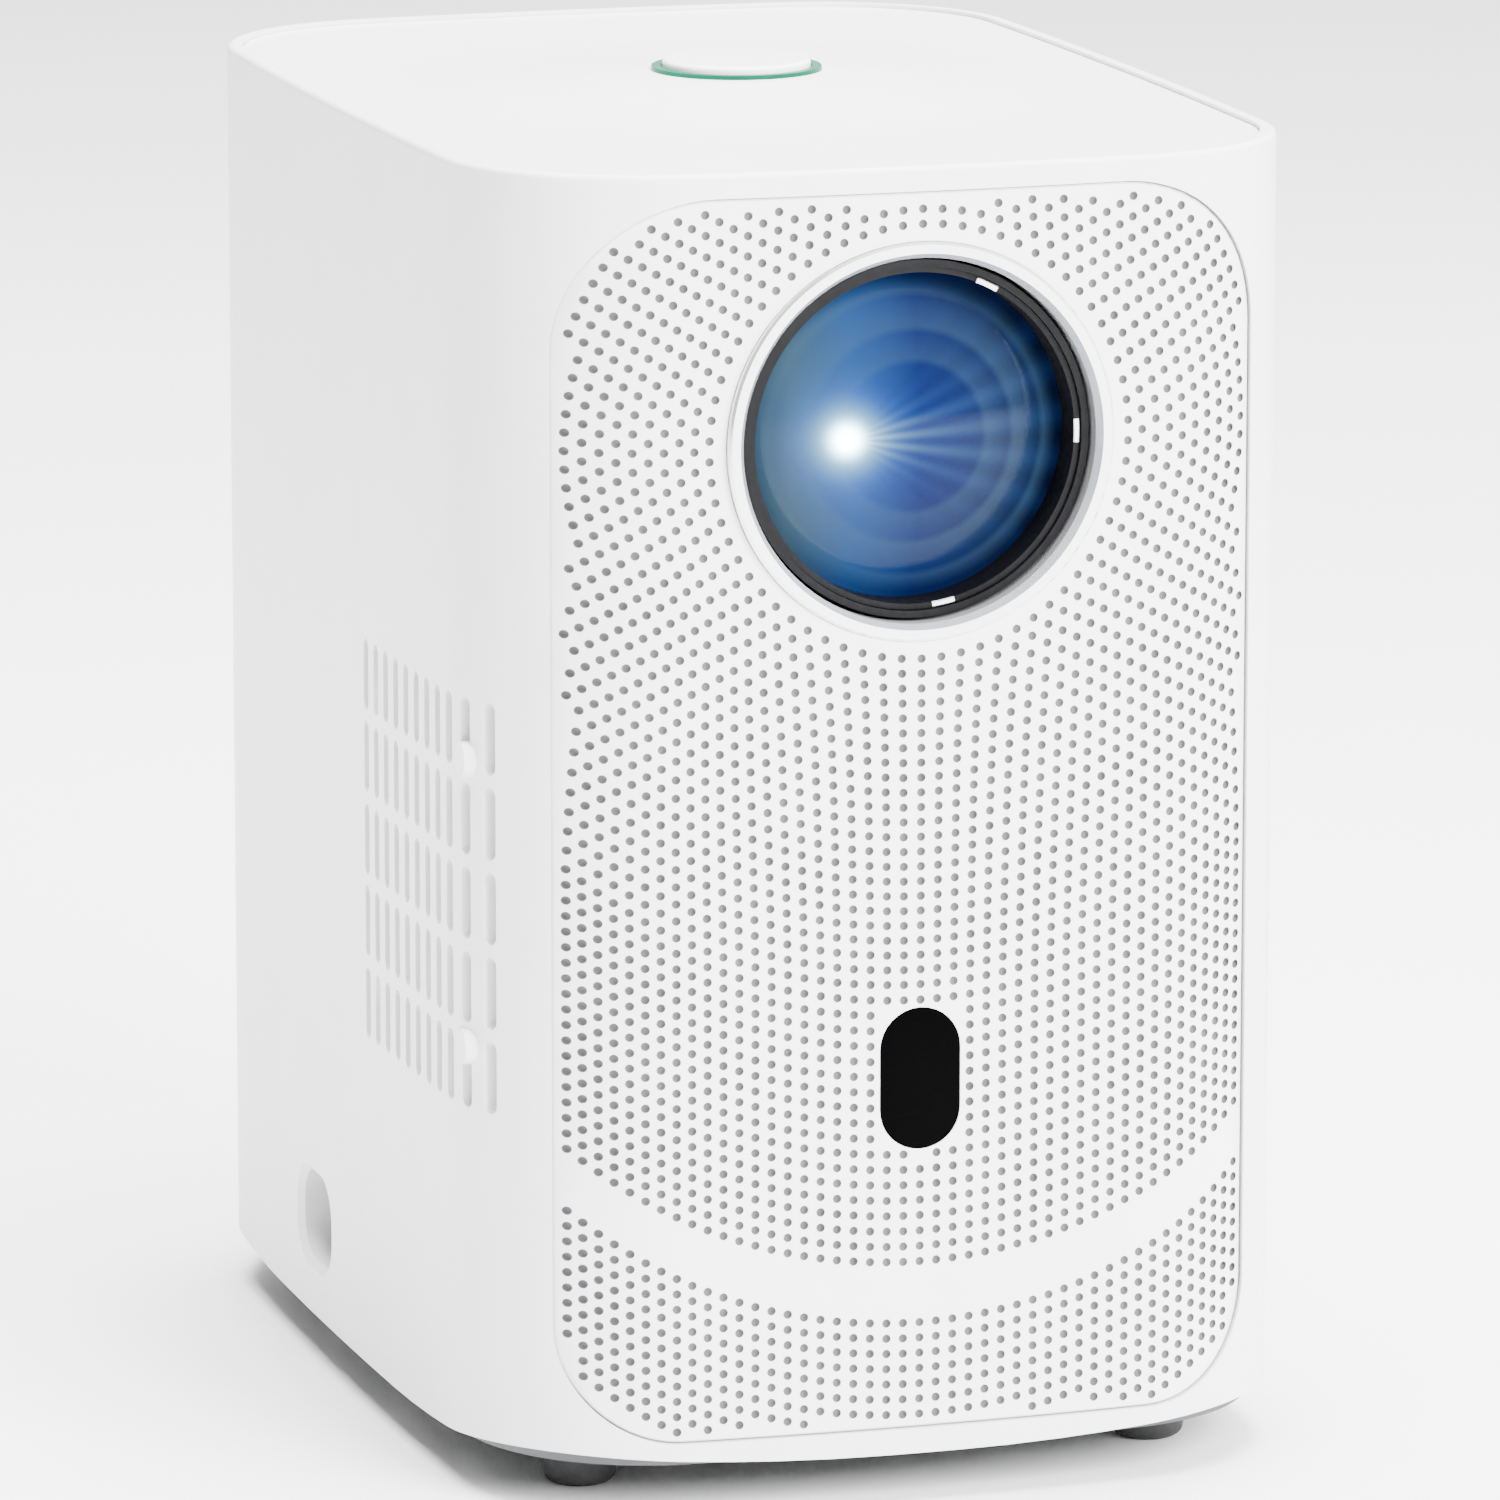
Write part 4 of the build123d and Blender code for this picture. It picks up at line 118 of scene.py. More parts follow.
def ramp(tree, factor, stops):
    """Colour ramp over a factor; stops are (position, grey or colour)."""
    node = tree.nodes.new("ShaderNodeValToRGB")
    elements = node.color_ramp.elements
    while len(elements) < len(stops):
        elements.new(0.5)
    for element, (position, colour) in zip(elements, stops):
        element.position = position
        element.color = (*colour, 1) if len(colour) == 3 else colour
    tree.links.new(factor, node.inputs["Fac"])
    return node.outputs["Color"]


def bumped(tree, shader, height, distance, strength=1.0):
    """Bump from a height socket into the shader's normal."""
    bump = tree.nodes.new("ShaderNodeBump")
    bump.inputs["Strength"].default_value = strength
    bump.inputs["Distance"].default_value = distance
    tree.links.new(height, bump.inputs["Height"])
    tree.links.new(bump.outputs["Normal"], shader.inputs["Normal"])


def mottled(name, dark, light, roughness, scale, bump, metallic=0.0, coat=0.0, stretch=(1, 1, 1)):
    """Surface whose colour and roughness drift a little, with a fine texture."""
    material, tree, shader = new_material(name)
    broad = object_noise(tree, scale / 12, 2.0, stretch)
    fine = object_noise(tree, scale, 4.0, stretch)
    tree.links.new(ramp(tree, broad, ((0.3, dark), (0.7, light))), shader.inputs["Base Color"])
    low, high = roughness
    rough = ramp(tree, fine, ((0.25, (low,) * 3), (0.75, (high,) * 3)))
    tree.links.new(rough, shader.inputs["Roughness"])
    bumped(tree, shader, fine, bump, 0.5)
    shader.inputs["Metallic"].default_value = metallic
    shader.inputs["Coat Weight"].default_value = coat
    shader.inputs["Coat Roughness"].default_value = 0.12
    return material


def clear_glass(name, tint, opacity):
    """Polished pane or lens, lightly tinted, with faint drift in its polish."""
    material, tree, shader = new_material(name)
    drift = object_noise(tree, 60)
    dark = tuple(0.85 * channel for channel in tint)
    tree.links.new(ramp(tree, drift, ((0.3, dark), (0.7, tint))), shader.inputs["Base Color"])
    rough = ramp(tree, drift, ((0.3, (0.015,) * 3), (0.8, (0.05,) * 3)))
    tree.links.new(rough, shader.inputs["Roughness"])
    shader.inputs["Transmission Weight"].default_value = 1 - opacity
    shader.inputs["IOR"].default_value = 1.5
    return material


def glowing(name, dark, light, strength):
    """Lit translucent plastic, its colour drifting a little at random."""
    material, tree, shader = new_material(name)
    drift = object_noise(tree, 90)
    colour = ramp(tree, drift, ((0.3, dark), (0.7, light)))
    tree.links.new(colour, shader.inputs["Base Color"])
    tree.links.new(colour, shader.inputs["Emission Color"])
    shader.inputs["Emission Strength"].default_value = strength
    shader.inputs["Roughness"].default_value = 0.28
    return material


def radial_distance(tree):
    """Distance from the lens axis, in millimetres, from object coordinates."""
    coordinates = tree.nodes.new("ShaderNodeTexCoord")
    place = tree.nodes.new("ShaderNodeVectorMath")
    place.operation = "SUBTRACT"
    place.inputs[1].default_value = (0, 0, LENS_Z)
    flat = tree.nodes.new("ShaderNodeVectorMath")
    flat.operation = "MULTIPLY"
    flat.inputs[1].default_value = (1000, 0, 1000)
    length = tree.nodes.new("ShaderNodeVectorMath")
    length.operation = "LENGTH"
    tree.links.new(coordinates.outputs["Object"], place.inputs[0])
    tree.links.new(place.outputs["Vector"], flat.inputs[0])
    tree.links.new(flat.outputs["Vector"], length.inputs[0])
    return flat.outputs["Vector"], length.outputs["Value"]


def maths(tree, operation, first, second):
    """Maths node; each input is a socket or a number."""
    node = tree.nodes.new("ShaderNodeMath")
    node.operation = operation
    for socket, value in zip(node.inputs, (first, second)):
        if isinstance(value, (int, float)):
            socket.default_value = value
        else:
            tree.links.new(value, socket)
    return node.outputs["Value"]


GLASS_REACH = 29.3         # millimetres from the axis to the front glass's edge
PAINTED_REFLECTION_WIDTH = 58            # millimetres over which the navy coating with its painted reflection drifts from teal to black
FLARE_OFFSET = 11.5         # millimetres from the axis to the painted flare's bright spot
EULER = 2.718
# Widths and strengths of the painted flare: hot core, cyan glow, outer halo and ray fan
CORE_NARROW, CYAN_NARROW, HALO_NARROW = 0.22, 0.035, 0.014
CORE_GLOW, CYAN_GLOW, HALO_GLOW, FAN_GLOW = 30, 1.6, 0.6, 0.5
FAN_NARROW = 5.5
FAN_RAYS = 31
FAN_REACH = 44             # millimetres


def bell(tree, squared, narrow):
    """Bell curve over a squared distance."""
    return maths(tree, "POWER", EULER, maths(tree, "MULTIPLY", squared, -narrow))


def coated_lens_painted_flare(name):
    """Front glass: navy coating with a painted reflection, painted highlights on the barrel's rings
    behind it, and a painted flare glow and ray fan.
    """
    material, tree, shader = new_material(name)
    place, distance = radial_distance(tree)
    split = tree.nodes.new("ShaderNodeSeparateXYZ")
    tree.links.new(place, split.inputs["Vector"])
    share = maths(tree, "ADD", maths(tree, "DIVIDE", split.outputs["X"], PAINTED_REFLECTION_WIDTH), 0.5)
    # Navy coating colour with a painted reflection: lighter teal on the left, near black on the
    # right
    body = ramp(
        tree,
        share,
        (
            (0.00, (0.010, 0.022, 0.032)),
            (0.14, (0.018, 0.036, 0.055)),
            (0.32, (0.006, 0.024, 0.080)),
            (0.52, (0.002, 0.006, 0.036)),
            (0.78, (0.002, 0.004, 0.016)),
            (1.00, (0.001, 0.002, 0.005)),
        ),
    )
    # Painted highlights: bright bands where the barrel's stepped rings catch light behind the glass
    rings = ramp(
        tree,
        maths(tree, "DIVIDE", distance, GLASS_REACH),
        (
            (0.42, (0, 0, 0)),
            (0.46, (0.16, 0.16, 0.16)),
            (0.60, (0.03, 0.03, 0.03)),
            (0.64, (0.20, 0.20, 0.20)),
            (0.80, (0.04, 0.04, 0.04)),
            (0.84, (0.22, 0.22, 0.22)),
            (0.93, (0, 0, 0)),
        ),
    )
    mix = tree.nodes.new("ShaderNodeMix")
    mix.data_type = "RGBA"
    mix.inputs[7].default_value = (0.024, 0.055, 0.080, 1)
    tree.links.new(rings, mix.inputs[0])
    tree.links.new(body, mix.inputs[6])
    tree.links.new(mix.outputs[2], shader.inputs["Base Color"])
    # Painted flare: emission standing in for light glowing inside the lens
    across = maths(tree, "ADD", split.outputs["X"], FLARE_OFFSET)
    squared = maths(tree, "POWER", split.outputs["Z"], 2)
    squared = maths(tree, "ADD", maths(tree, "POWER", across, 2), squared)
    core = bell(tree, squared, CORE_NARROW)
    cyan = bell(tree, squared, CYAN_NARROW)
    halo = bell(tree, squared, HALO_NARROW)
    turn = maths(tree, "ARCTAN2", split.outputs["Z"], across)
    wide = bell(tree, maths(tree, "POWER", turn, 2), FAN_NARROW)
    rays = maths(tree, "SINE", maths(tree, "MULTIPLY", turn, FAN_RAYS), 0)
    rays = maths(tree, "ADD", maths(tree, "MULTIPLY", rays, 0.35), 0.65)
    reach = maths(tree, "SUBTRACT", 1, maths(tree, "DIVIDE", across, FAN_REACH))
    fan = maths(tree, "MULTIPLY", maths(tree, "MULTIPLY", wide, rays), reach)
    fan = maths(tree, "MAXIMUM", fan, 0)
    # Colour of the painted flare
    tint = ramp(
        tree,
        maths(tree, "ADD", cyan, maths(tree, "MULTIPLY", fan, 0.45)),
        ((0.0, (0.02, 0.16, 1.0)), (0.30, (0.22, 0.52, 0.80)), (0.9, (0.55, 0.90, 1.0))),
    )
    tree.links.new(tint, shader.inputs["Emission Color"])
    glow = maths(tree, "MULTIPLY", core, CORE_GLOW)
    for light, strength in ((halo, HALO_GLOW), (cyan, CYAN_GLOW), (fan, FAN_GLOW)):
        glow = maths(tree, "ADD", glow, maths(tree, "MULTIPLY", light, strength))
    tree.links.new(glow, shader.inputs["Emission Strength"])
    shader.inputs["Roughness"].default_value = 0.05
    shader.inputs["IOR"].default_value = 1.16
    return material


materials = {
    "shell_white": mottled(
        "shell_white", (0.76, 0.76, 0.765), (0.79, 0.79, 0.795), (0.30, 0.36), 900, 0.00001,
        coat=0.25
    ),
    "panel_white": mottled(
        "panel_white", (0.83, 0.83, 0.83), (0.86, 0.86, 0.86), (0.34, 0.40), 900, 0.00001, coat=0.15
    ),
    "button_white": mottled(
        "button_white", (0.84, 0.84, 0.84), (0.87, 0.87, 0.87), (0.25, 0.31), 900, 0.00001, coat=0.3
    ),
    "ring_green": glowing("ring_green", (0.0, 0.030, 0.016), (0.0, 0.045, 0.025), 8.0),
    "window_black": mottled(
        "window_black", (0.0006, 0.0006, 0.0007), (0.0011, 0.0011, 0.0012), (0.10, 0.16), 300,
        0.00001
    ),
    "bezel_silver": mottled(
        "bezel_silver", (0.80, 0.81, 0.83), (0.88, 0.89, 0.90), (0.16, 0.24), 700, 0.00001,
        metallic=0.75,
    ),
    "barrel_black": mottled(
        "barrel_black", (0.0025, 0.0025, 0.003), (0.005, 0.005, 0.006), (0.45, 0.6), 700, 0.00003
    ),
    "lens_glass": clear_glass("lens_glass", (0.35, 0.45, 0.80), 0.2),
    "clear_pane": clear_glass("clear_pane", (0.85, 0.93, 0.95), 0.1),
    "lcd_dark": clear_glass("lcd_dark", (0.05, 0.05, 0.09), 0.7),
    "nylon": mottled("nylon", (0.62, 0.59, 0.50), (0.70, 0.67, 0.58), (0.4, 0.5), 500, 0.00003),
    "inner_black": mottled(
        "inner_black", (0.014, 0.014, 0.015), (0.024, 0.024, 0.026), (0.5, 0.65), 1200, 0.00006
    ),
    "inner_grey": mottled(
        "inner_grey", (0.050, 0.052, 0.055), (0.070, 0.072, 0.076), (0.45, 0.6), 1200, 0.00005
    ),
    "alloy": mottled(
        "alloy", (0.55, 0.56, 0.58), (0.66, 0.67, 0.69), (0.25, 0.42), 400, 0.00003, metallic=1.0,
        stretch=(1, 1, 14),
    ),
    "motor_steel": mottled(
        "motor_steel", (0.50, 0.50, 0.52), (0.60, 0.60, 0.62), (0.25, 0.38), 400, 0.00002,
        metallic=1.0
    ),
    "screw_steel": mottled(
        "screw_steel", (0.45, 0.45, 0.47), (0.56, 0.56, 0.58), (0.25, 0.4), 900, 0.00002,
        metallic=1.0
    ),
    "socket_steel": mottled(
        "socket_steel", (0.55, 0.55, 0.57), (0.64, 0.64, 0.66), (0.22, 0.34), 700, 0.00002,
        metallic=1.0
    ),
    "circuit_green": mottled(
        "circuit_green", (0.010, 0.075, 0.030), (0.016, 0.110, 0.045), (0.3, 0.45), 260, 0.00005,
        coat=0.4,
    ),
    "lamp_yellow": mottled(
        "lamp_yellow", (0.75, 0.62, 0.16), (0.86, 0.76, 0.34), (0.4, 0.55), 500, 0.00004
    ),
    "cone_black": mottled(
        "cone_black", (0.015, 0.015, 0.016), (0.030, 0.030, 0.032), (0.6, 0.8), 900, 0.00012
    ),
    "silicone": mottled(
        "silicone", (0.36, 0.38, 0.40), (0.44, 0.46, 0.49), (0.45, 0.6), 500, 0.00003
    ),
    "foot_rubber": mottled(
        "foot_rubber", (0.020, 0.020, 0.021), (0.034, 0.034, 0.035), (0.62, 0.78), 1500, 0.00010
    ),
    "insert_brass": mottled(
        "insert_brass", (0.62, 0.45, 0.18), (0.72, 0.54, 0.24), (0.25, 0.4), 700, 0.00002,
        metallic=1.0
    ),
}
# Dark grey for the dimples' walls and floors: painted shade in the recesses
dimple_painted_shade = mottled(
    "dimple_painted_shade", (0.10, 0.10, 0.105), (0.14, 0.14, 0.145), (0.5, 0.6), 900, 0.00001
)
for slot, index in (("ring_green", 1.15), ("window_black", 1.04), ("barrel_black", 1.25)):
    shader = materials[slot].node_tree.nodes["Principled BSDF"]
    shader.inputs["IOR"].default_value = index
slots = {part["node"]: part["material_slot"] for part in frame["record"]["subparts"]}
for node, thing in frame["nodes"].items():
    thing.data.materials.clear()
    thing.data.materials.append(materials[slots[node]])


# ---------------------------------------------------------------------------
# Front panel with its dimples
# ---------------------------------------------------------------------------
def corner_centre():
    """Centre of the housing's round corner, seen from above, on the front right."""
    front = Vector((0, cad_low.y + FRONT_RADIUS))
    side = Vector((cad_high.x - SIDE_RADIUS, 0))
    reach_front = FRONT_RADIUS - CORNER_RADIUS
    reach_side = SIDE_RADIUS - CORNER_RADIUS
    apart = front - side
    along = (reach_side**2 - reach_front**2 + apart.length_squared) / (2 * apart.length)
    away = sqrt(reach_side**2 - along**2)
    unit = apart.normalized()
    return side + unit * along + Vector((unit.y, -unit.x)) * away


CORNER = corner_centre()
FRONT_CENTRE_Y = cad_low.y + FRONT_RADIUS
TANGENT_X = CORNER.x * FRONT_RADIUS / (FRONT_RADIUS - CORNER_RADIUS)


def surface(x, inset):
    """Y of the front surface at x, moved in by inset."""
    if abs(x) < TANGENT_X:
        return FRONT_CENTRE_Y - sqrt((FRONT_RADIUS - inset) ** 2 - x * x)
    return CORNER.y - sqrt((CORNER_RADIUS - inset) ** 2 - (abs(x) - CORNER.x) ** 2)


def rounded_outline(inset, steps=14):
    """Panel's outline, anticlockwise from the lower left corner, moved in by inset."""
    points = []
    low = panel_low.z + inset
    high = panel_high.z - inset
    half = PANEL_X - inset
    for x_sign, z_edge, radius, start in (
        (-1, low, LOW_CORNER - inset, 180),
        (1, low, LOW_CORNER - inset, 270),
        (1, high, TOP_CORNER - inset, 0),
        (-1, high, TOP_CORNER - inset, 90),
    ):
        x = x_sign * (half - radius)
        z = z_edge + radius if z_edge == low else z_edge - radius
        for step in range(steps + 1):
            angle = radians(start + 90 * step / steps)
            points.append((x + radius * cos(angle), z + radius * sin(angle)))
    dense = []
    for (x0, z0), (x1, z1) in zip(points, points[1:] + points[:1]):
        parts = max(1, int(hypot(x1 - x0, z1 - z0) / (4 * MM)))
        for part in range(parts):
            share = part / parts
            dense.append((x0 + (x1 - x0) * share, z0 + (z1 - z0) * share))
    return dense


def circle(x, z, radius, count):
    """Points round a circle."""
    return [
        (x + radius * cos(2 * pi * i / count), z + radius * sin(2 * pi * i / count))
        for i in range(count)
    ]


def obround(half_width, half_height, count=16):
    """Upright obround round the infrared window's middle."""
    points = []
    rise = half_height - half_width
    for start, z in ((0, WINDOW_Z + rise), (180, WINDOW_Z - rise)):
        for step in range(count + 1):
            angle = radians(start + 180 * step / count)
            points.append((half_width * cos(angle), z + half_width * sin(angle)))
    return points


RING_PITCH = 2.56 * MM     # rings of dimples round the lens
RING_START = 8.92 * MM
FIRST_RING = 11
LAST_RING = 33
ROW_PITCH = 2.694 * MM     # rows that repeat the last ring's arc further down
ROWS = 36
MISSING_ROWS = (19, 20, 21)
SIDE_COLUMNS = 22
DIMPLE = 0.78 * MM
DIMPLE_MARGIN = 1.75 * MM


def inside_panel(x, z, margin):
    """Whether a point lies inside the panel's outline by a margin, and off the window."""
    low = panel_low.z + margin
    high = panel_high.z - margin
    half = PANEL_X - margin
    if abs(x) > half or not low < z < high:
        return False
    for edge, radius in ((low, LOW_CORNER - margin), (high, TOP_CORNER - margin)):
        dx = abs(x) - (half - radius)
        dz = radius - abs(z - edge)
        if dx > 0 and dz > 0 and hypot(dx, dz) > radius:
            return False
    reach = max(0, abs(z - WINDOW_Z) - (WINDOW_HALF_HEIGHT - WINDOW_HALF_WIDTH))
    return hypot(x, reach) > WINDOW_HALF_WIDTH + DIMPLE + 0.5 * MM


def dimple_places():
    """Middles of the dimples: whole rings round the lens, then rows that repeat the last ring."""
    places = []
    for ring in range(FIRST_RING, LAST_RING + 1):
        radius = RING_START + RING_PITCH * ring
        for i in range(6 * ring):
            angle = radians(i * 60 / ring - 90)
            places.append((radius * cos(angle), LENS_Z + radius * sin(angle)))
    last = RING_START + RING_PITCH * LAST_RING
    for row in range(1, ROWS + 1):
        if row in MISSING_ROWS:
            continue
        for i in range(-SIDE_COLUMNS, SIDE_COLUMNS + 1):
            angle = radians(i * 60 / LAST_RING)
            places.append((last * sin(angle), LENS_Z - last * cos(angle) - ROW_PITCH * row))
    return [(x, z) for x, z in places if inside_panel(x, z, DIMPLE_MARGIN)]


def triangulated(loops, extra, holes_from):
    """Triangles of the first loop's inside, less the loops from holes_from on."""
    flat = [Vector(point) for loop in loops for point in loop] + [Vector(point) for point in extra]
    faces = []
    start = 0
    for loop in loops:
        faces.append(list(range(start, start + len(loop))))
        start += len(loop)
    points, _, triangles, origins, _, sources = delaunay_2d_cdt(flat, [], faces, 1, 1e-7)
    index = {}
    for new, olds in enumerate(origins):
        for old in olds:
            index[old] = new
    kept = [
        triangle
        for triangle, source in zip(triangles, sources)
        if all(loop < holes_from for loop in source)
    ]
    return [tuple(point) for point in points], kept, index, faces


def front_panel():
    """Curved sheet with rounded edges, openings for lens and window, and sunk dimples."""
    places = dimple_places()
    loops = [rounded_outline(EDGE_ROUND), circle(0, LENS_Z, LENS_HOLE, 96)]
    loops.append(obround(WINDOW_HALF_WIDTH, WINDOW_HALF_HEIGHT))
    loops += [circle(x, z, DIMPLE, 10) for x, z in places]
    points, triangles, index, faces = triangulated(loops, [], 1)
    vertices = [(x, surface(x, PANEL_RECESS), z) for x, z in points]
    polygons = [tuple(triangle) for triangle in triangles]

    def ring_of(loop, inset):
        start = len(vertices)
        vertices.extend((x, surface(x, inset), z) for x, z in loop)
        return list(range(start, start + len(loop)))

    def band(first, second, flip):
        for a, b, c, d in zip(first, first[1:] + first[:1], second[1:] + second[:1], second):
            polygons.append((a, d, c, b) if flip else (a, b, c, d))

    first_dimple = len(polygons)
    for number, (x, z) in enumerate(places):
        rim = [index[i] for i in faces[3 + number]]
        wall = ring_of(circle(x, z, 0.90 * DIMPLE, 10), PANEL_RECESS + 0.45 * MM)
        floor = ring_of(circle(x, z, 0.45 * DIMPLE, 10), PANEL_RECESS + 0.72 * MM)
        band(rim, wall, False)
        band(wall, floor, False)
        polygons.append(tuple(floor))
    last_dimple = len(polygons)
    back = PANEL_RECESS + PANEL_THICK
    grid = [
        (4 * MM * i, panel_low.z + 8 * MM * j) for i in range(-14, 15) for j in range(1, 26)
    ]
    grid = [
        (x, z)
        for x, z in grid
        if inside_panel(x, z, 3 * MM) and hypot(x, z - LENS_Z) > LENS_HOLE + 2 * MM
    ]
    back_loops = [rounded_outline(0), loops[1], loops[2]]
    back_points, back_triangles, back_index, back_faces = triangulated(back_loops, grid, 1)
    offset = len(vertices)
    vertices.extend((x, surface(x, back), z) for x, z in back_points)
    polygons.extend(tuple(offset + i for i in reversed(t)) for t in back_triangles)
    edge = ring_of(rounded_outline(0), PANEL_RECESS + EDGE_ROUND)
    outer = [index[i] for i in faces[0]]
    back_outer = [offset + back_index[i] for i in back_faces[0]]
    band(outer, edge, True)
    band(edge, back_outer, True)
    for loop in (1, 2):
        front_rim = [index[i] for i in faces[loop]]
        back_rim = [offset + back_index[i] for i in back_faces[loop]]
        band(front_rim, back_rim, False)
    mesh = bpy.data.meshes.new("front_panel_face")
    mesh.from_pydata(vertices, [], polygons)
    mesh.materials.append(materials["panel_white"])
    mesh.materials.append(dimple_painted_shade)
    for polygon in mesh.polygons:
        polygon.use_smooth = True
    # Dimple walls and floors take the painted shade material
    for polygon in mesh.polygons[first_dimple:last_dimple]:
        polygon.material_index = 1
    mesh.validate()
    mesh.update()
    mesh.set_sharp_from_angle(angle=radians(32))
    piece = bpy.data.objects.new("front_panel_face", mesh)
    bpy.context.scene.collection.objects.link(piece)
    return piece


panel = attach(front_panel(), "housing")
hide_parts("front_panel")


# ---------------------------------------------------------------------------
# Front glass, clips on its retaining ring, and the silicone dome under the button
# ---------------------------------------------------------------------------
def new_piece(name, vertices, polygons, material, slot):
    """Smooth mesh object that slides with the lens group."""
    mesh = bpy.data.meshes.new(name)
    mesh.from_pydata(vertices, [], polygons)
    mesh.validate()
    for polygon in mesh.polygons:
        polygon.use_smooth = True
    mesh.set_sharp_from_angle(angle=radians(32))
    mesh.materials.append(material)
    piece = bpy.data.objects.new(name, mesh)
    bpy.context.scene.collection.objects.link(piece)
    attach(piece, "lens_group")
    return piece


def cap_y(radius, reach, pole, edge):
    """Y of a spherical cap at a radius, from its pole to its edge."""
    sag = edge - pole
    ball = (reach**2 + sag**2) / (2 * abs(sag))
    drop = ball - sqrt(ball**2 - radius**2)
    return pole + drop * (1 if sag > 0 else -1)


def front_dome():
    """Front glass as a smooth body of revolution through the poles and edge of its CAD solid."""
    points = [
        (hypot(v.co.x, v.co.z - LENS_Z), v.co.y)
        for v in frame["nodes"]["lens_front_glass"].data.vertices
    ]
    reach = max(radius for radius, _ in points)
    edge = [y for radius, y in points if radius > reach - 0.05 * MM]
    poles = [y for radius, y in points if radius < 1.0 * MM]
    rings = 40
    profile = [
        (reach * i / rings, cap_y(reach * i / rings, reach, min(poles), min(edge)))
        for i in range(1, rings + 1)
    ]
    profile += [
        (reach * i / rings, cap_y(reach * i / rings, reach, max(poles), max(edge)))
        for i in range(rings, 0, -1)
    ]
    turns = 128
    vertices = [
        (radius * cos(2 * pi * i / turns), y, LENS_Z + radius * sin(2 * pi * i / turns))
        for radius, y in profile
        for i in range(turns)
    ]
    polygons = [
        (
            row * turns + i,
            row * turns + (i + 1) % turns,
            (row + 1) * turns + (i + 1) % turns,
            (row + 1) * turns + i,
        )
        for row in range(len(profile) - 1)
        for i in range(turns)
    ]
    last = (len(profile) - 1) * turns
    vertices += [(0, min(poles), LENS_Z), (0, max(poles), LENS_Z)]
    front_pole = len(vertices) - 2
    for i in range(turns):
        follow = (i + 1) % turns
        polygons.append((front_pole, follow, i))
        polygons.append((front_pole + 1, last + i, last + follow))
    return vertices, [polygon[::-1] for polygon in polygons]


# Front glass with its coating, painted reflection, painted ring highlights and painted flare
dome = new_piece("front_glass_dome", *front_dome(), coated_lens_painted_flare("coated_glass_painted_flare"), "lens_glass")
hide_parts("lens_front_glass")

return_dome = bpy.data.objects.new(
    "button_silicone_dome", frame["nodes"]["button_return_dome"].data.copy()
)
bpy.context.scene.collection.objects.link(return_dome)
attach(return_dome, "housing")
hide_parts("button_return_dome")
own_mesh(return_dome)

ring_low, ring_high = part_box("lens_retaining_ring")
CLIP_OUTER = (ring_high.x - ring_low.x) / 2 - 0.15 * MM
CLIP_WIDTH = 0.95 * MM
CLIP_THICK = 0.35 * MM
CLIP_HALF_ANGLE = 4.0


def clip(middle_angle, steps=10):
    """Small bevelled arc of bright sheet metal lying on the retaining ring."""
    outline = [
        (CLIP_OUTER, 0),
        (CLIP_OUTER, -0.6 * CLIP_THICK),
        (CLIP_OUTER - 0.2 * CLIP_WIDTH, -CLIP_THICK),
        (CLIP_OUTER - 0.8 * CLIP_WIDTH, -CLIP_THICK),
        (CLIP_OUTER - CLIP_WIDTH, -0.6 * CLIP_THICK),
        (CLIP_OUTER - CLIP_WIDTH, 0),
    ]
    count = len(outline)
    vertices = []
    for step in range(steps + 1):
        angle = radians(middle_angle + CLIP_HALF_ANGLE * (2 * step / steps - 1))
        vertices += [
            (radius * cos(angle), ring_low.y + y, LENS_Z + radius * sin(angle))
            for radius, y in outline
        ]
    polygons = [
        (
            step * count + i,
            step * count + (i + 1) % count,
            (step + 1) * count + (i + 1) % count,
            (step + 1) * count + i,
        )
        for step in range(steps)
        for i in range(count)
    ]
    polygons.append(tuple(reversed(range(count))))
    polygons.append(tuple(range(steps * count, (steps + 1) * count)))
    return vertices, polygons


for number, angle in enumerate((0, 64, -80), 1):
    new_piece(f"lens_clip_{number}", *clip(angle), materials["bezel_silver"], "bezel_silver")


# ---------------------------------------------------------------------------
# Floor, light and camera
# ---------------------------------------------------------------------------
FLOOR_REACH = 9
WORLD_STRENGTH = 2.2
KEY_POWER = 250
TOP_POWER = 210

floor_mesh = bpy.data.meshes.new("floor")
floor_corners = [
    (x * FLOOR_REACH, y * FLOOR_REACH, 0) for x, y in ((-1, -1), (1, -1), (1, 1), (-1, 1))
]
floor_mesh.from_pydata(floor_corners, [], [(0, 1, 2, 3)])
floor = bpy.data.objects.new("floor", floor_mesh)
bpy.context.scene.collection.objects.link(floor)
floor_mesh.materials.append(
    mottled("floor_pale", (0.86, 0.86, 0.86), (0.88, 0.88, 0.88), (0.6, 0.7), 30, 0.00005)
)

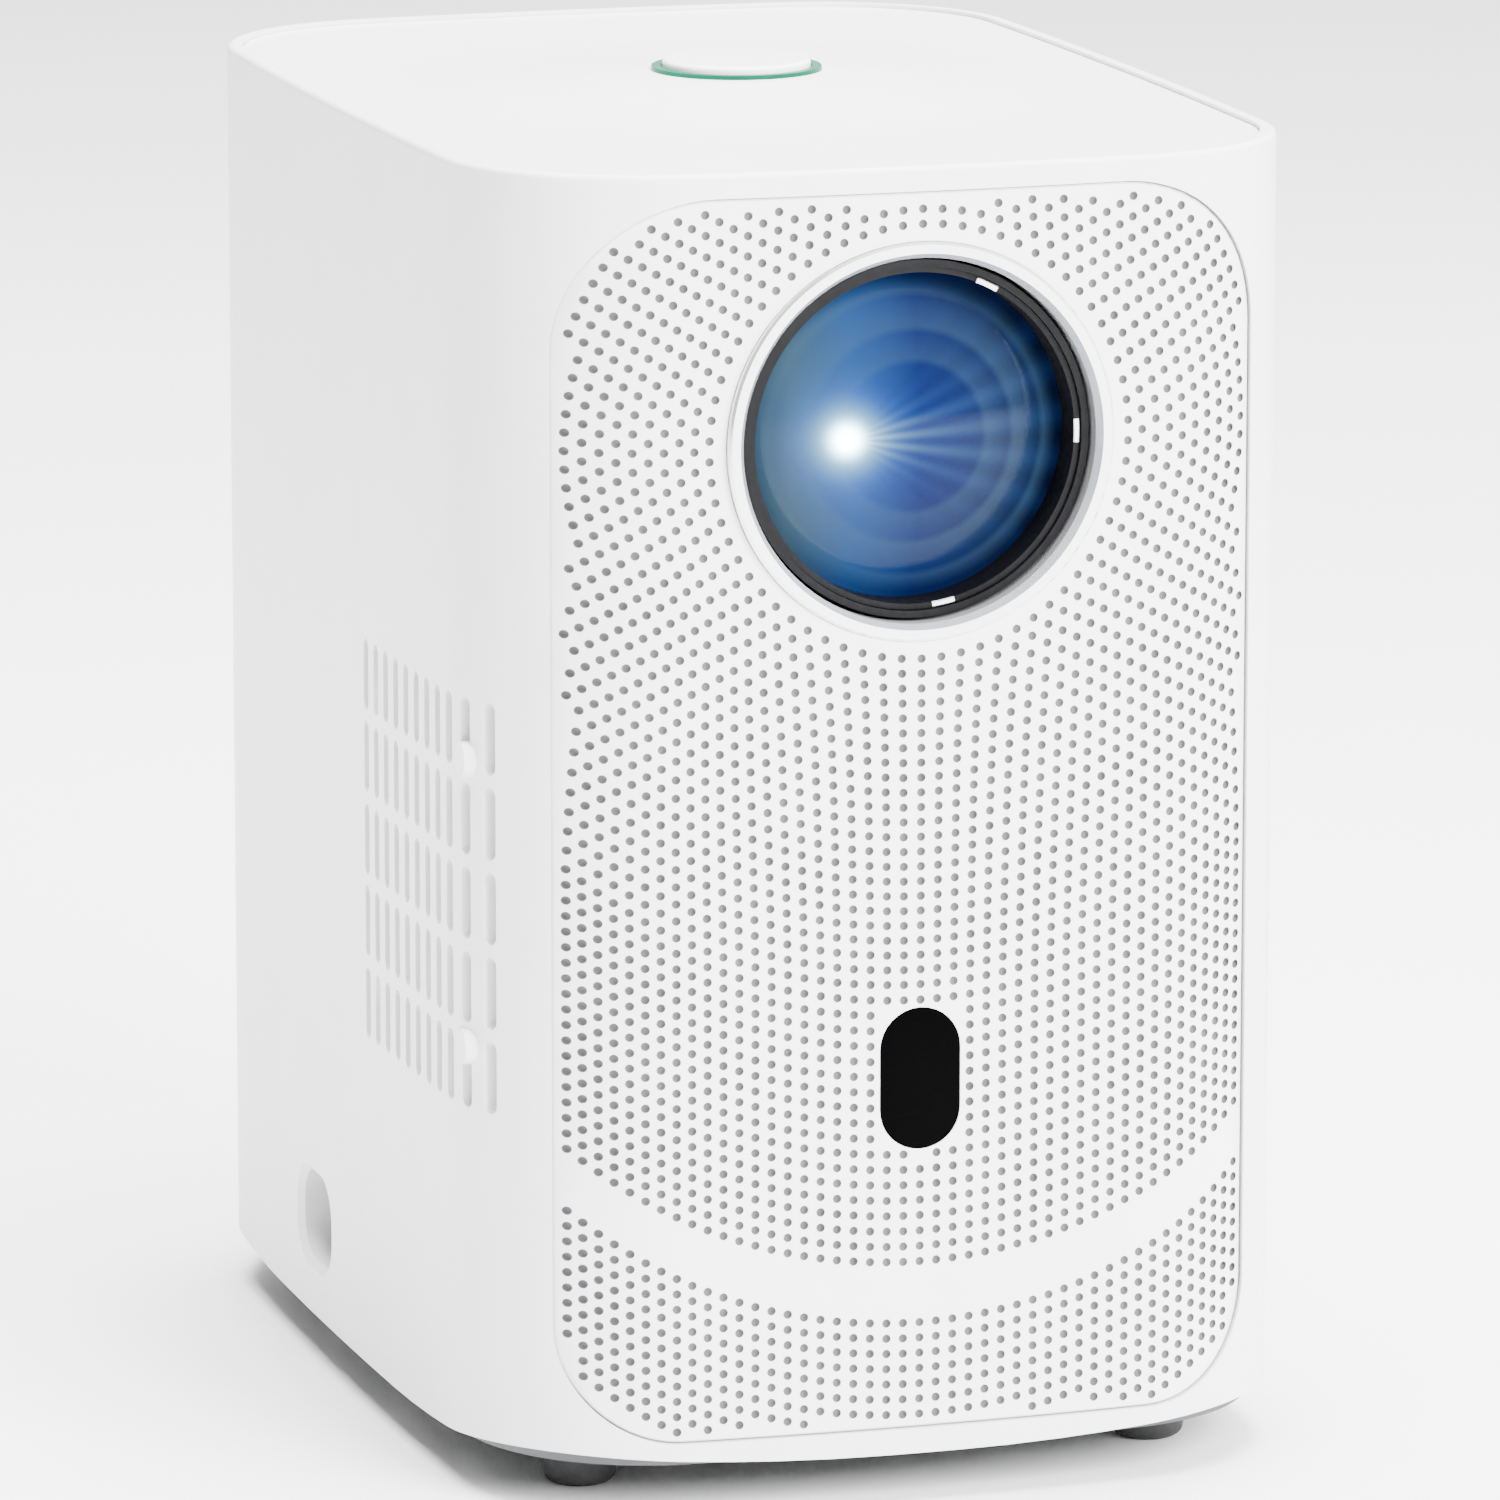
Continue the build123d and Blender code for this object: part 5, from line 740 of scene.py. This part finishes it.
world = bpy.data.worlds.new("studio")
bpy.context.scene.world = world
world.use_nodes = True
tree = world.node_tree
background = tree.nodes["Background"]
direction = tree.nodes.new("ShaderNodeTexCoord")
parts = tree.nodes.new("ShaderNodeSeparateXYZ")
tree.links.new(direction.outputs["Generated"], parts.inputs["Vector"])
side = maths(tree, "ADD", maths(tree, "MULTIPLY", parts.outputs["X"], 0.5), 0.5)
shade = ramp(tree, side, ((0.28, (0.04, 0.04, 0.04)), (0.50, (1, 1, 1))))
tree.links.new(shade, background.inputs["Color"])
background.inputs["Strength"].default_value = WORLD_STRENGTH


def area_light(name, place, target, size, power):
    """Soft rectangular lamp aimed at a point."""
    lamp = bpy.data.lights.new(name, "AREA")
    lamp.shape = "RECTANGLE"
    lamp.size, lamp.size_y = size
    lamp.energy = power
    thing = bpy.data.objects.new(name, lamp)
    thing.visible_glossy = False
    thing.location = place
    aim = Vector(target) - Vector(place)
    thing.rotation_euler = aim.to_track_quat("-Z", "Y").to_euler()
    bpy.context.scene.collection.objects.link(thing)


middle = (0, 0, 0.12)
area_light("key", (0.9, -1.9, 1.3), middle, (1.3, 1.3), KEY_POWER)
area_light("top", (0, 0.1, 1.8), middle, (1.4, 1.4), TOP_POWER)

YAW = radians(17.17)
PITCH = radians(11.44)
DISTANCE = 1.8911
ASIDE = 0.0024
RAISED = 0.1002
FOCAL_LENGTH = 250.7
right = Vector((cos(YAW), -sin(YAW), 0))
forward = Vector((sin(YAW) * cos(PITCH), cos(YAW) * cos(PITCH), -sin(PITCH)))
up = right.cross(forward)
camera_data = bpy.data.cameras.new("camera")
camera_data.lens = FOCAL_LENGTH
camera_data.sensor_width = 36
camera_data.clip_end = 50
camera = bpy.data.objects.new("camera", camera_data)
place = right * ASIDE + up * RAISED - forward * DISTANCE + Vector((0, 0, shell_low.z))
camera.matrix_world = Matrix(
    (
        (right.x, up.x, -forward.x, place.x),
        (right.y, up.y, -forward.y, place.y),
        (right.z, up.z, -forward.z, place.z),
        (0, 0, 0, 1),
    )
)
bpy.context.scene.collection.objects.link(camera)
bpy.context.scene.camera = camera
